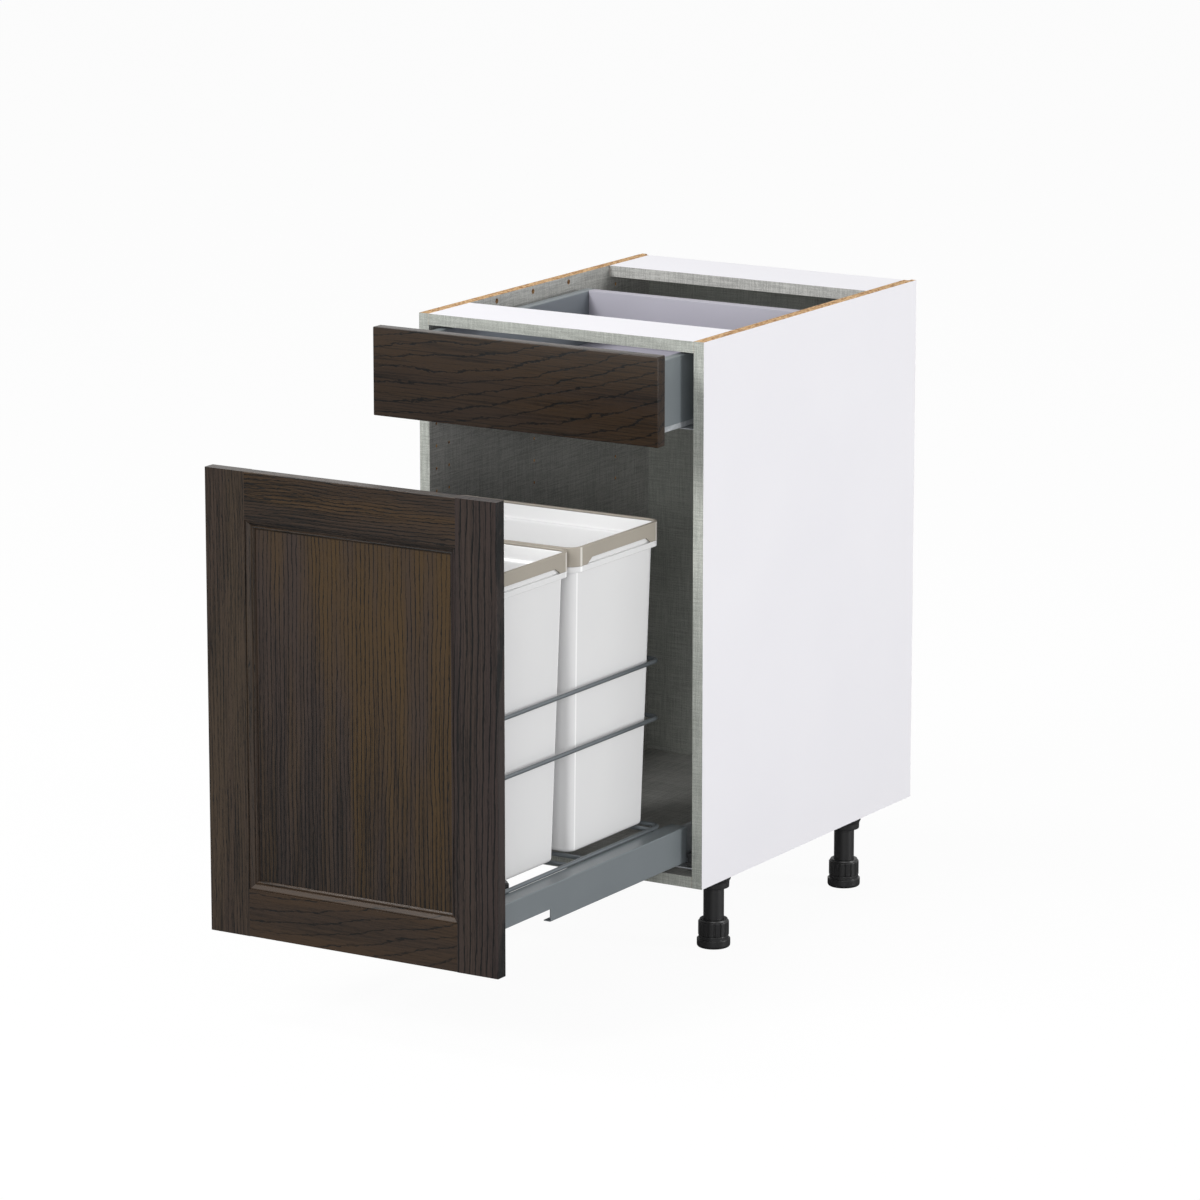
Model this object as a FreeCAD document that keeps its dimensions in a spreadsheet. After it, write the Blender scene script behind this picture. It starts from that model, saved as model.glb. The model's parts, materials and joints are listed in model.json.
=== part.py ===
"""Pull-out base cabinet: a fitted unit with a shallow drawer over a pull-out for two bins.

X runs to the right, Y to the back, Z up, in millimetres. The origin is on the floor, below the middle
of the whole unit as it stands with the pull-out fully open and the drawer a little open.
"""
import FreeCAD
import Part
import Sketcher
import math
import os
import re

doc = FreeCAD.newDocument("pull_out_base_cabinet")
sheet = doc.addObject("Spreadsheet::Sheet", "Sizes")

SIZES = {
    # Carcass boards
    "carcass_width": 457.2,
    "carcass_height": 762.0,
    "carcass_depth": 600.0,
    "board": 16.0,
    "back_board": 8.0,
    "back_tongue": 8.0,
    "front_rail_depth": 105.0,
    "rear_rail_depth": 110.0,
    # Rows of system holes in the sides
    "hole_radius": 2.5,
    "hole_depth": 12.0,
    "hole_pitch": 32.0,
    "hole_rows": 10,
    "hole_from_top": 29.4,
    "hole_front_setback": 18.0,
    "hole_second_setback": 50.0,
    "hole_middle_setback": 274.0,
    "hole_rear_setback": 498.0,
    "hole_sides": 6,
    # Spare dowel holes between the two top rails
    "spare_hole_setback": 176.0,
    "spare_hole_pitch": 96.0,
    "spare_hole_count": 3,
    # Dowels that join the boards
    "dowel_radius": 4.0,
    "dowel_length": 34.0,
    "dowel_in_side": 9.0,
    "dowel_inset": 30.0,
    "dowel_fit": 0.15,
    "dowel_sides": 8,
    # Legs
    "leg_height": 114.0,
    "leg_side_inset": 47.0,
    "leg_end_inset": 113.0,
    "socket_radius": 24.0,
    "socket_neck_radius": 22.0,
    "socket_height": 28.0,
    "socket_flange_share": 0.55,
    "socket_roof": 5.0,
    "tube_radius": 14.5,
    "tube_wall": 2.5,
    "tube_fit": 0.3,
    "adjuster_radius": 20.0,
    "adjuster_height": 23.0,
    "adjuster_lip": 3.0,
    "rib_half": 1.3,
    "rib_rise": 1.6,
    "rib_count": 16,
    "foot_radius": 23.5,
    "foot_height": 17.0,
    "foot_step": 5.0,
    "foot_stem_rise": 34.0,
    "foot_travel": 8.0,
    "leg_sides": 20,
    "stem_sides": 12,
    # Fronts
    "front_thick": 19.0,
    "front_gap": 2.0,
    "front_reveal": 1.6,
    "front_base_reveal": 2.2,
    "front_edge": 1.2,
    "front_top_reveal": 2.0,
    "front_split": 3.6,
    "drawer_front_height": 123.2,
    "stile_face": 62.8,
    "rail_face": 65.0,
    "sticking_width": 12.0,
    "sticking_step": 1.5,
    "panel_recess": 8.0,
    "panel_thick": 6.0,
    "groove_depth": 9.0,
    "panel_play": 0.3,
    # How far each front stands open
    "pull_open": 498.0,
    "drawer_open": 97.0,
    # Drawer box
    "drawer_side_gap": 15.2,
    "drawer_side_thick": 14.0,
    "drawer_side_height": 92.0,
    "drawer_side_length": 490.0,
    "drawer_side_drop": 111.0,
    "drawer_sheet": 1.2,
    # Telescopic runners
    "runner_sheet": 1.5,
    "runner_play": 0.5,
    "runner_length": 490.0,
    "runner_setback": 3.0,
    "wall_plate_height": 22.0,
    "drawer_runner_drop": 122.0,
    "drawer_runner_rise": 40.0,
    "drawer_strip": 7.0,
    "pull_runner_base": 26.0,
    "pull_grip": 32.0,
    "cap_length": 19.0,
    "cap_width": 9.0,
    # Pull-out side profiles
    "profile_gap": 12.7,
    "profile_sheet": 1.5,
    "profile_flange": 26.5,
    "profile_lip": 11.0,
    "profile_top": 84.5,
    "profile_base": 34.0,
    "profile_length": 508.0,
    "notch_length": 154.0,
    "notch_height": 17.5,
    # Wire cradle and hoops
    "wire_radius": 3.0,
    "wire_sides": 8,
    "cradle_bend": 14.0,
    "cradle_room": 2.5,
    "cradle_seat_share": 0.7071,
    "cross_wire_inset": 20.0,
    "hoop_side_room": 11.0,
    "hoop_bend": 15.0,
    "hoop_rear_setback": 3.0,
    "hoop_low": 237.0,
    "hoop_high": 317.5,
    "boss_radius": 9.0,
    "boss_length": 6.0,
    # Bins and rims
    "bin_base": 88.4,
    "bin_top_drop": 249.0,
    "bin_side_room": 14.6,
    "bin_half_length": 106.4,
    "bin_taper": 11.5,
    "bin_corner": 14.0,
    "bin_wall": 2.5,
    "bin_gap": 5.0,
    "rear_bin_setback": 2.0,
    "lip_out": 4.4,
    "ledge_out": 7.0,
    "ledge_height": 9.0,
    "rim_height": 26.0,
    "rim_wall": 2.8,
    "rim_play": 0.4,
    "rim_inner_reach": 5.0,
    "rim_cut_height": 9.0,
    "rim_cut_end": 32.0,
    "rim_cut_slope": 12.0,
    "overrun": 5.0,
}

for row, (word, number) in enumerate(SIZES.items(), start=1):
    sheet.set(f"A{row}", word)
    sheet.set(f"B{row}", str(number))
    sheet.setAlias(f"B{row}", word)
doc.recompute()

# Places shared by several pieces, worked out from the sheet
FRONT = "((pull_open + front_gap + front_thick - carcass_depth) / 2)"
BACK = f"({FRONT} + carcass_depth)"
BASE = "leg_height"
TOP = "(leg_height + carcass_height)"
HALF = "(carcass_width / 2)"
INNER = "(carcass_width / 2 - board)"
PULL_BACK = f"({FRONT} - pull_open - front_gap)"
DRAWER_BACK_FACE = f"({FRONT} - drawer_open - front_gap)"
PULL_BASE = "(leg_height + front_base_reveal)"
FRONTS_FIXED = "(front_base_reveal + front_split + drawer_front_height + front_top_reveal)"
PULL_HEIGHT = f"(carcass_height - {FRONTS_FIXED})"
PULL_TOP = f"({PULL_BASE} + {PULL_HEIGHT})"
FRONT_HALF = "(carcass_width / 2 - front_reveal)"
PROFILE_OUT = f"({INNER} - profile_gap)"
PROFILE_IN = f"({PROFILE_OUT} - profile_flange)"
DRAWER_OUT = f"({INNER} - drawer_side_gap)"
DRAWER_IN = f"({DRAWER_OUT} - drawer_side_thick)"
DRAWER_BASE = f"({TOP} - drawer_side_drop)"
HOOP_HALF = f"({PROFILE_IN} - hoop_side_room)"
BIN_HALF = f"({PROFILE_IN} - bin_side_room)"
BIN_TOP = f"({TOP} - bin_top_drop)"
SIDES = {"left": -1, "right": 1}


def bind(text):
    """The text with every sheet name written as a reference to the sheet."""
    return re.sub(r"[a-z][a-z_]+", lambda m: f"Sizes.{m[0]}" if m[0] in SIZES else m[0], str(text))


def value(text):
    """The present value of an expression, for first guesses that the constraints then hold."""
    return float(sheet.evalExpression(bind(text)))


def place(item, x=0, y=0, z=0):
    """Hold an object's base point at three expressions."""
    for axis, text in zip("xyz", (x, y, z)):
        item.setExpression(f"Placement.Base.{axis}", bind(text))
    return item


def drive(item, **sizes):
    """Hold properties of an object at expressions."""
    for name, text in sizes.items():
        item.setExpression(name, bind(text))
    return item


def new_body(name, x=0, y=0, z=0):
    """An empty body whose own origin stands at a place in the unit."""
    return place(doc.addObject("PartDesign::Body", name), x, y, z)


def sketch_on(body, role, name, lift=None):
    """A sketch on one of the body's origin planes, raised along the plane's normal."""
    sketch = body.newObject("Sketcher::SketchObject", name)
    sketch.AttachmentSupport = [(next(o for o in body.Origin.OriginFeatures if o.Role == role), "")]
    sketch.MapMode = "FlatFace"
    if lift is not None:
        sketch.setExpression("AttachmentOffset.Base.z", bind(lift))
    return sketch


def hold(sketch, constraint, name, text):
    """Add a constraint and hold it at an expression."""
    index = sketch.addConstraint(constraint)
    sketch.renameConstraint(index, name)
    sketch.setExpression(f"Constraints.{name}", bind(text))


def outline(sketch, points):
    """A closed outline whose corners stand at pairs of expressions."""
    corners = [FreeCAD.Vector(value(x), value(y), 0) for x, y in points]
    first = sketch.GeometryCount
    count = len(points)
    for i, corner in enumerate(corners):
        sketch.addGeometry(Part.LineSegment(corner, corners[(i + 1) % count]), False)
    for i in range(count):
        sketch.addConstraint(Sketcher.Constraint("Coincident", first + i, 2, first + (i + 1) % count, 1))
    for i, pair in enumerate(points):
        for kind, text in zip(("DistanceX", "DistanceY"), pair):
            constraint = Sketcher.Constraint(kind, -1, 1, first + i, 1, value(text))
            hold(sketch, constraint, f"{kind}_{first + i}", text)


def circle(sketch, x, y, radius):
    """A circle at a pair of expressions."""
    centre = FreeCAD.Vector(value(x), value(y), 0)
    index = sketch.addGeometry(Part.Circle(centre, FreeCAD.Vector(0, 0, 1), value(radius)), False)
    hold(sketch, Sketcher.Constraint("DistanceX", -1, 1, index, 3, centre.x), f"x_{index}", x)
    hold(sketch, Sketcher.Constraint("DistanceY", -1, 1, index, 3, centre.y), f"y_{index}", y)
    hold(sketch, Sketcher.Constraint("Radius", index, value(radius)), f"radius_{index}", radius)


def rounded_rectangle(sketch, half_x, half_y, corner):
    """A rectangle about the sketch's origin with four equal round corners."""
    wide, deep, bend = value(half_x), value(half_y), value(corner)
    quarter = math.pi / 2
    turns = [(1, -1), (1, 1), (-1, 1), (-1, -1)]
    centres = [FreeCAD.Vector(x * (wide - bend), y * (deep - bend), 0) for x, y in turns]
    arcs = []
    for i, centre in enumerate(centres):
        ring = Part.Circle(centre, FreeCAD.Vector(0, 0, 1), bend)
        arcs.append(Part.ArcOfCircle(ring, (i - 1) * quarter, i * quarter))
    for i, arc in enumerate(arcs):
        sketch.addGeometry(Part.LineSegment(arcs[i - 1].EndPoint, arc.StartPoint), False)
        sketch.addGeometry(arc, False)
    for i in range(len(turns)):
        side, arc, following = 2 * i, 2 * i + 1, (2 * i + 2) % 8
        sketch.addConstraint(Sketcher.Constraint("Tangent", side, 2, arc, 1))
        sketch.addConstraint(Sketcher.Constraint("Tangent", arc, 2, following, 1))
    for arc in (3, 5, 7):
        sketch.addConstraint(Sketcher.Constraint("Equal", 1, arc))
    sketch.addConstraint(Sketcher.Constraint("Symmetric", 0, 1, 0, 2, -2))
    sketch.addConstraint(Sketcher.Constraint("Symmetric", 2, 1, 2, 2, -1))
    sketch.addConstraint(Sketcher.Constraint("Horizontal", 4))
    sketch.addConstraint(Sketcher.Constraint("Vertical", 6))
    hold(sketch, Sketcher.Constraint("DistanceX", -1, 1, 2, 1, wide), "half_x", half_x)
    hold(sketch, Sketcher.Constraint("DistanceY", -1, 1, 4, 1, deep), "half_y", half_y)
    hold(sketch, Sketcher.Constraint("Radius", 1, bend), "corner", corner)


def pad(body, sketch, length, reverse=False):
    """Material along the sketch's normal."""
    feature = body.newObject("PartDesign::Pad", f"{sketch.Name}_pad")
    feature.Profile = sketch
    feature.Reversed = reverse
    return drive(feature, Length=length)


def pocket(body, sketch, length, reverse=False):
    """A cut against the sketch's normal."""
    feature = body.newObject("PartDesign::Pocket", f"{sketch.Name}_pocket")
    feature.Profile = sketch
    feature.Reversed = reverse
    return drive(feature, Length=length)


def bar(name, points, start, length):
    """A straight section of (x, z) corners that runs to the back from a start in Y."""
    body = new_body(name, y=start)
    sketch = sketch_on(body, "XZ_Plane", f"{name}_section")
    outline(sketch, points)
    pad(body, sketch, length, reverse=True)
    return body


def board(name, x, y, z, wide, deep, tall):
    """A flat board from its lowest corner and its three sizes."""
    return drive(place(doc.addObject("Part::Box", name), x, y, z), Length=wide, Width=deep, Height=tall)


def join(name, kind, items):
    """One object out of several, kept as separate solids or fused."""
    group = doc.addObject(kind, name)
    setattr(group, "Links" if kind == "Part::Compound" else "Shapes", items)
    return group


def cut(name, base, tool):
    """One object less another."""
    feature = doc.addObject("Part::Cut", name)
    feature.Base = base
    feature.Tool = tool
    return feature


def rod(name, start, axis, length, radius, sides=None):
    """A rod from a start point along X or Y: round, or many-sided where many of them repeat."""
    kind = "Part::Prism" if sides else "Part::Cylinder"
    item = drive(place(doc.addObject(kind, name), *start), Height=length)
    if sides:
        drive(item, Circumradius=radius, Polygon=sides)
    else:
        drive(item, Radius=radius)
    turn = FreeCAD.Rotation(FreeCAD.Vector(0, 0, 1), FreeCAD.Vector(*axis))
    item.Placement = FreeCAD.Placement(item.Placement.Base, turn)
    return item


def bend(name, centre, radius, wire, quarter):
    """A quarter turn of wire in a level plane, which starts at a whole quarter from the X axis."""
    across, along = [(1, 0), (0, 1), (-1, 0), (0, -1)][quarter]
    x, y, z = centre
    start = (f"{x} + {across} * ({radius})", f"{y} + {along} * ({radius})", z)
    section = place(doc.addObject("Part::RegularPolygon", f"{name}_section"), *start)
    drive(section, Circumradius=wire, Polygon="wire_sides")
    upright = FreeCAD.Rotation(90 * quarter, 0, 90)
    section.Placement = FreeCAD.Placement(section.Placement.Base, upright)
    item = doc.addObject("Part::Revolution", name)
    item.Source = section
    item.Axis = FreeCAD.Vector(0, 0, 1)
    item.Angle = 90
    item.Solid = True
    for word, text in zip("xyz", centre):
        item.setExpression(f"Base.{word}", bind(text))
    return item


def prism(body, name, sides, radius, low, high, remove=False):
    """A many-sided block about the body's vertical axis between two heights, added or removed."""
    kind = "PartDesign::SubtractivePrism" if remove else "PartDesign::AdditivePrism"
    block = body.newObject(kind, name)
    block.AttachmentSupport = [(next(o for o in body.Origin.OriginFeatures if o.Role == "XY_Plane"), "")]
    block.MapMode = "FlatFace"
    block.setExpression("AttachmentOffset.Base.z", bind(low))
    return drive(block, Polygon=sides, Circumradius=radius, Height=f"{high} - ({low})")


def dowel_places():
    """Each dowel as its side, its place along the depth and its height."""
    rail = f"({TOP} - board / 2)"
    floor = f"({BASE} + board / 2)"
    rear = f"({BACK} - back_board)"
    depths = [
        (f"({FRONT} + dowel_inset)", rail),
        (f"({FRONT} + front_rail_depth - dowel_inset)", rail),
        (f"({rear} - rear_rail_depth + dowel_inset)", rail),
        (f"({rear} - dowel_inset)", rail),
        (f"({FRONT} + dowel_inset)", floor),
        (f"(({FRONT} + {rear}) / 2)", floor),
        (f"({rear} - dowel_inset)", floor),
    ]
    return [(side, y, z) for side in SIDES for y, z in depths]


def dowels(name, play):
    """The dowels, or the holes for them when there is play."""
    items = []
    for i, (side, y, z) in enumerate(dowel_places()):
        sign = SIDES[side]
        start = f"{sign} * ({INNER} + dowel_in_side + {play})"
        length = f"dowel_length + 2 * ({play})"
        items.append(rod(f"{name}_{i}", (start, y, z), (-sign, 0, 0), length,
                         f"dowel_radius + {play}", "dowel_sides"))
    return join(name, "Part::Compound", items)


def side_panel(side, holes):
    """A side board with its rear rebate, rows of system holes and dowel holes."""
    sign = SIDES[side]
    name = f"{side}_side_panel"
    body = new_body(f"{name}_board", x=f"{sign} * {HALF}", y=FRONT, z=BASE)
    section = sketch_on(body, "XY_Plane", f"{name}_plan")
    outline(section, [
        ("0", "0"),
        (f"{-sign} * board", "0"),
        (f"{-sign} * board", "carcass_depth - back_board"),
        (f"{-sign} * (board - back_tongue)", "carcass_depth - back_board"),
        (f"{-sign} * (board - back_tongue)", "carcass_depth"),
        ("0", "carcass_depth"),
    ])
    pad(body, section, "carcass_height")
    ends = sketch_on(body, "YZ_Plane", f"{name}_pin_holes", f"{-sign} * board")
    for setback in ("hole_second_setback", "hole_rear_setback"):
        for down in ("0", "hole_pitch * (hole_rows - 1)"):
            circle(ends, setback, f"carcass_height - hole_from_top - {down}", "hole_radius")
    pocket(body, ends, "hole_depth", reverse=(sign > 0))
    return cut(name, body, join(f"{name}_holes", "Part::Compound", [holes, hole_rows(side)]))


def hole_rows(side):
    """The other system holes and the spare dowel holes of a side board.

    They are many-sided, since they repeat and nothing is put in them. The second and the rear column leave
    out their end holes, which are drilled round for shelf pins.
    """
    sign = SIDES[side]
    columns = {"front": 0, "second": 1, "middle": 0, "rear": 1}
    items = []
    for column, ends in columns.items():
        for row in range(ends, int(SIZES["hole_rows"]) - ends):
            start = (f"{sign} * {INNER}", f"{FRONT} + hole_{column}_setback",
                     f"{TOP} - hole_from_top - {row} * hole_pitch")
            items.append(rod(f"{side}_{column}_hole_{row}", start, (sign, 0, 0),
                             "hole_depth", "hole_radius", "hole_sides"))
    for i in range(int(SIZES["spare_hole_count"])):
        start = (f"{sign} * {INNER}", f"{FRONT} + spare_hole_setback + {i} * spare_hole_pitch",
                 f"{TOP} - board / 2")
        items.append(rod(f"{side}_spare_hole_{i}", start, (sign, 0, 0),
                         "hole_depth", "dowel_radius", "dowel_sides"))
    return join(f"{side}_hole_rows", "Part::Compound", items)


def carcass():
    """The six boards of the carcass and the dowels that hold them."""
    holes = dowels("dowel_holes", "dowel_fit")
    depth = "carcass_depth - back_board"
    wide = f"2 * {INNER}"
    floor = board("floor_board", f"-{INNER}", FRONT, BASE, wide, depth, "board")
    front = board("front_rail_board", f"-{INNER}", FRONT, f"{TOP} - board", wide, "front_rail_depth", "board")
    rear_start = f"{BACK} - back_board - rear_rail_depth"
    rear = board("rear_rail_board", f"-{INNER}", rear_start, f"{TOP} - board", wide,
                 "rear_rail_depth", "board")
    back_half = f"({INNER} + back_tongue)"
    back = board("back_panel", f"-{back_half}", f"{BACK} - back_board", BASE,
                 f"2 * {back_half}", "back_board", "carcass_height - board")
    return {
        "left_side_panel": side_panel("left", holes),
        "right_side_panel": side_panel("right", holes),
        "bottom_panel": cut("bottom_panel", floor, holes),
        "top_front_rail": cut("top_front_rail", front, holes),
        "top_rear_rail": cut("top_rear_rail", rear, holes),
        "back_panel": back,
        "carcass_dowels": dowels("carcass_dowels", "0"),
    }


def leg(corner, x, y):
    """One leg: a socket under the floor board, a tube, a ribbed adjuster and a foot."""
    under = f"({BASE} - socket_height)"
    roof = f"({BASE} - socket_roof)"
    socket = new_body(f"{corner}_leg_socket", x, y)
    prism(socket, f"{corner}_neck", "leg_sides", "socket_neck_radius", under, BASE)
    prism(socket, f"{corner}_flange", "leg_sides", "socket_radius",
          f"{BASE} - socket_height * socket_flange_share", BASE)
    prism(socket, f"{corner}_seat", "leg_sides", "tube_radius + tube_fit", under, roof, remove=True)
    tube_end = "(foot_height + foot_travel + tube_fit)"
    bore = "tube_radius - tube_wall"
    tube = new_body(f"{corner}_leg_tube", x, y)
    prism(tube, f"{corner}_pipe", "leg_sides", "tube_radius", tube_end, roof)
    prism(tube, f"{corner}_bore", "leg_sides", bore, tube_end, roof, remove=True)
    seat = "(foot_height + tube_fit)"
    adjuster = new_body(f"{corner}_leg_adjuster", x, y)
    prism(adjuster, f"{corner}_collar", "rib_count", "adjuster_radius", seat, f"{seat} + adjuster_height")
    rib = sketch_on(adjuster, "XY_Plane", f"{corner}_leg_rib", seat)
    outline(rib, [
        ("adjuster_radius - rib_rise", "-rib_half"),
        ("adjuster_radius + rib_rise", "-rib_half"),
        ("adjuster_radius + rib_rise", "rib_half"),
        ("adjuster_radius - rib_rise", "rib_half"),
    ])
    ridge = pad(adjuster, rib, "adjuster_height - adjuster_lip")
    ring = adjuster.newObject("PartDesign::PolarPattern", f"{corner}_leg_ribs")
    ring.Originals = [ridge]
    ring.Axis = (rib, ["N_Axis"])
    drive(ring, Occurrences="rib_count")
    adjuster.Tip = ring
    passage = sketch_on(adjuster, "XY_Plane", f"{corner}_leg_passage", seat)
    circle(passage, "0", "0", "tube_radius + tube_fit")
    pocket(adjuster, passage, "adjuster_height", reverse=True)
    foot = new_body(f"{corner}_leg_foot", x, y)
    prism(foot, f"{corner}_pad", "leg_sides", "foot_radius", "0", "foot_height - foot_step")
    prism(foot, f"{corner}_step", "leg_sides", "foot_radius - foot_step / 2", "0", "foot_height")
    prism(foot, f"{corner}_stem", "stem_sides", f"{bore} - tube_fit", "0", "foot_height + foot_stem_rise")
    return {item.Name: item for item in (socket, tube, adjuster, foot)}


def legs():
    """Four legs, one near each corner of the floor board."""
    nodes = {}
    ends = {"front": f"({FRONT} + leg_end_inset)", "rear": f"({BACK} - leg_end_inset)"}
    for side, sign in SIDES.items():
        for end, y in ends.items():
            nodes.update(leg(f"{end}_{side}", f"{sign} * ({HALF} - leg_side_inset)", y))
    return nodes


def frame_section(sign_in, out, face):
    """The section of a frame member of the front: outer edge, stepped sticking and panel groove.

    It runs across from the outer edge at out towards the panel, and back from the front face at 0.
    """
    def across(text):
        return f"{out} + {sign_in} * ({text})"

    edge = f"({face} + sticking_width)"
    panel_back = "(panel_recess + panel_thick + panel_play)"
    return [
        (across("0"), "front_edge"),
        (across("front_edge"), "0"),
        (across(face), "0"),
        (across(face), "sticking_step"),
        (across(edge), "panel_recess - sticking_step"),
        (across(edge), "panel_recess - panel_play"),
        (across(f"{edge} - groove_depth"), "panel_recess - panel_play"),
        (across(f"{edge} - groove_depth"), panel_back),
        (across(edge), panel_back),
        (across(edge), "front_thick"),
        (across("0"), "front_thick"),
    ]


def pull_front():
    """The framed front of the pull-out: two stiles, two rails scribed over them, and a panel."""
    face_y = f"({PULL_BACK} - front_thick)"
    nodes = {}
    stiles = []
    for side, sign in SIDES.items():
        name = f"pull_front_{side}_stile"
        body = new_body(name, y=face_y, z=PULL_BASE)
        section = sketch_on(body, "XY_Plane", f"{name}_section")
        outline(section, frame_section(-sign, f"{sign} * {FRONT_HALF}", "stile_face"))
        pad(body, section, PULL_HEIGHT)
        nodes[name] = body
        stiles.append(body)
    pair = join("stile_pair", "Part::Compound", stiles)
    reach = f"({FRONT_HALF} - stile_face)"
    ends = {"top": (-1, PULL_TOP), "bottom": (1, PULL_BASE)}
    for end, (inward, z) in ends.items():
        name = f"pull_front_{end}_rail"
        body = new_body(f"{name}_stock", x=f"-{reach}", y=face_y, z=z)
        section = sketch_on(body, "YZ_Plane", f"{name}_section")
        outline(section, [(y, x) for x, y in frame_section(inward, "0", "rail_face")])
        pad(body, section, f"2 * {reach}")
        nodes[name] = cut(name, body, pair)
    seat = "groove_depth - panel_play - sticking_width"
    half = f"({FRONT_HALF} - stile_face + ({seat}))"
    low = f"({PULL_BASE} + rail_face - ({seat}))"
    tall = f"{PULL_HEIGHT} - 2 * (rail_face - ({seat}))"
    nodes["pull_front_panel"] = board("pull_front_panel", f"-{half}", f"{face_y} + panel_recess", low,
                                      f"2 * {half}", "panel_thick", tall)
    return nodes


def drawer_box():
    """The drawer: a slab front, two hooded steel sides, a base and a back."""
    name = "drawer_front"
    low = f"({PULL_TOP} + front_split)"
    slab = new_body(name, y=f"{DRAWER_BACK_FACE} - front_thick", z=low)
    plan = sketch_on(slab, "XY_Plane", f"{name}_plan")
    outline(plan, [
        (f"-{FRONT_HALF}", "front_edge"),
        (f"-{FRONT_HALF} + front_edge", "0"),
        (f"{FRONT_HALF} - front_edge", "0"),
        (FRONT_HALF, "front_edge"),
        (FRONT_HALF, "front_thick"),
        (f"-{FRONT_HALF}", "front_thick"),
    ])
    pad(slab, plan, "drawer_front_height")
    nodes = {name: slab}
    base = DRAWER_BASE
    for side, sign in SIDES.items():
        hood = f"drawer_{side}_side"
        nodes[hood] = bar(hood, [
            (f"{sign} * {DRAWER_OUT}", base),
            (f"{sign} * {DRAWER_OUT}", f"{base} + drawer_side_height"),
            (f"{sign} * {DRAWER_IN}", f"{base} + drawer_side_height"),
            (f"{sign} * {DRAWER_IN}", base),
            (f"{sign} * ({DRAWER_IN} + drawer_sheet)", base),
            (f"{sign} * ({DRAWER_IN} + drawer_sheet)", f"{base} + drawer_side_height - drawer_sheet"),
            (f"{sign} * ({DRAWER_OUT} - drawer_sheet)", f"{base} + drawer_side_height - drawer_sheet"),
            (f"{sign} * ({DRAWER_OUT} - drawer_sheet)", base),
        ], DRAWER_BACK_FACE, "drawer_side_length")
    wide = f"2 * {DRAWER_IN}"
    nodes["drawer_base"] = board("drawer_base", f"-{DRAWER_IN}", DRAWER_BACK_FACE, base,
                                 wide, "drawer_side_length", "board")
    back_y = f"{DRAWER_BACK_FACE} + drawer_side_length - board"
    nodes["drawer_back"] = board("drawer_back", f"-{DRAWER_IN}", back_y, f"{base} + board",
                                 wide, "board", "drawer_side_height - board")
    return nodes


def cabinet_rail(name, sign, centre, low, crown):
    """The fixed member: a plate on the side board, a web under the moving ones and an upright."""
    half = "(runner_sheet / 2)"
    return bar(name, [
        (f"{sign} * {INNER}", low),
        (f"{sign} * {INNER}", f"{low} + wall_plate_height"),
        (f"{sign} * ({INNER} - runner_sheet)", f"{low} + wall_plate_height"),
        (f"{sign} * ({INNER} - runner_sheet)", f"{low} + runner_sheet"),
        (f"{sign} * ({centre} + {half})", f"{low} + runner_sheet"),
        (f"{sign} * ({centre} + {half})", crown),
        (f"{sign} * ({centre} - {half})", crown),
        (f"{sign} * ({centre} - {half})", low),
    ], f"{FRONT} + runner_setback", "runner_length")


def channel(name, sign, centre, inside, low, crown, start):
    """A moving member: an upturned channel with a clear inside width, from low to crown."""
    half_in = f"({inside} / 2)"
    half_out = f"({inside} / 2 + runner_sheet)"
    return bar(name, [
        (f"{sign} * ({centre} - {half_out})", low),
        (f"{sign} * ({centre} - {half_out})", crown),
        (f"{sign} * ({centre} + {half_out})", crown),
        (f"{sign} * ({centre} + {half_out})", low),
        (f"{sign} * ({centre} + {half_in})", low),
        (f"{sign} * ({centre} + {half_in})", f"{crown} - runner_sheet"),
        (f"{sign} * ({centre} - {half_in})", f"{crown} - runner_sheet"),
        (f"{sign} * ({centre} - {half_in})", low),
    ], start, "runner_length")


def drawer_shoe(name, sign, centre, inside, low, crown, start):
    """The drawer's own member: a channel with ledges on which the side's two walls stand."""
    half_in = f"({inside} / 2)"
    half_out = f"({inside} / 2 + runner_sheet)"
    wing = "(drawer_side_thick / 2)"
    ledge = DRAWER_BASE
    return bar(name, [
        (f"{sign} * ({centre} - {wing})", low),
        (f"{sign} * ({centre} - {wing})", ledge),
        (f"{sign} * ({centre} - {half_out})", ledge),
        (f"{sign} * ({centre} - {half_out})", crown),
        (f"{sign} * ({centre} + {half_out})", crown),
        (f"{sign} * ({centre} + {half_out})", ledge),
        (f"{sign} * ({centre} + {wing})", ledge),
        (f"{sign} * ({centre} + {wing})", low),
        (f"{sign} * ({centre} + {half_in})", low),
        (f"{sign} * ({centre} + {half_in})", f"{crown} - runner_sheet"),
        (f"{sign} * ({centre} - {half_in})", f"{crown} - runner_sheet"),
        (f"{sign} * ({centre} - {half_in})", low),
    ], start, "runner_length")


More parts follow.
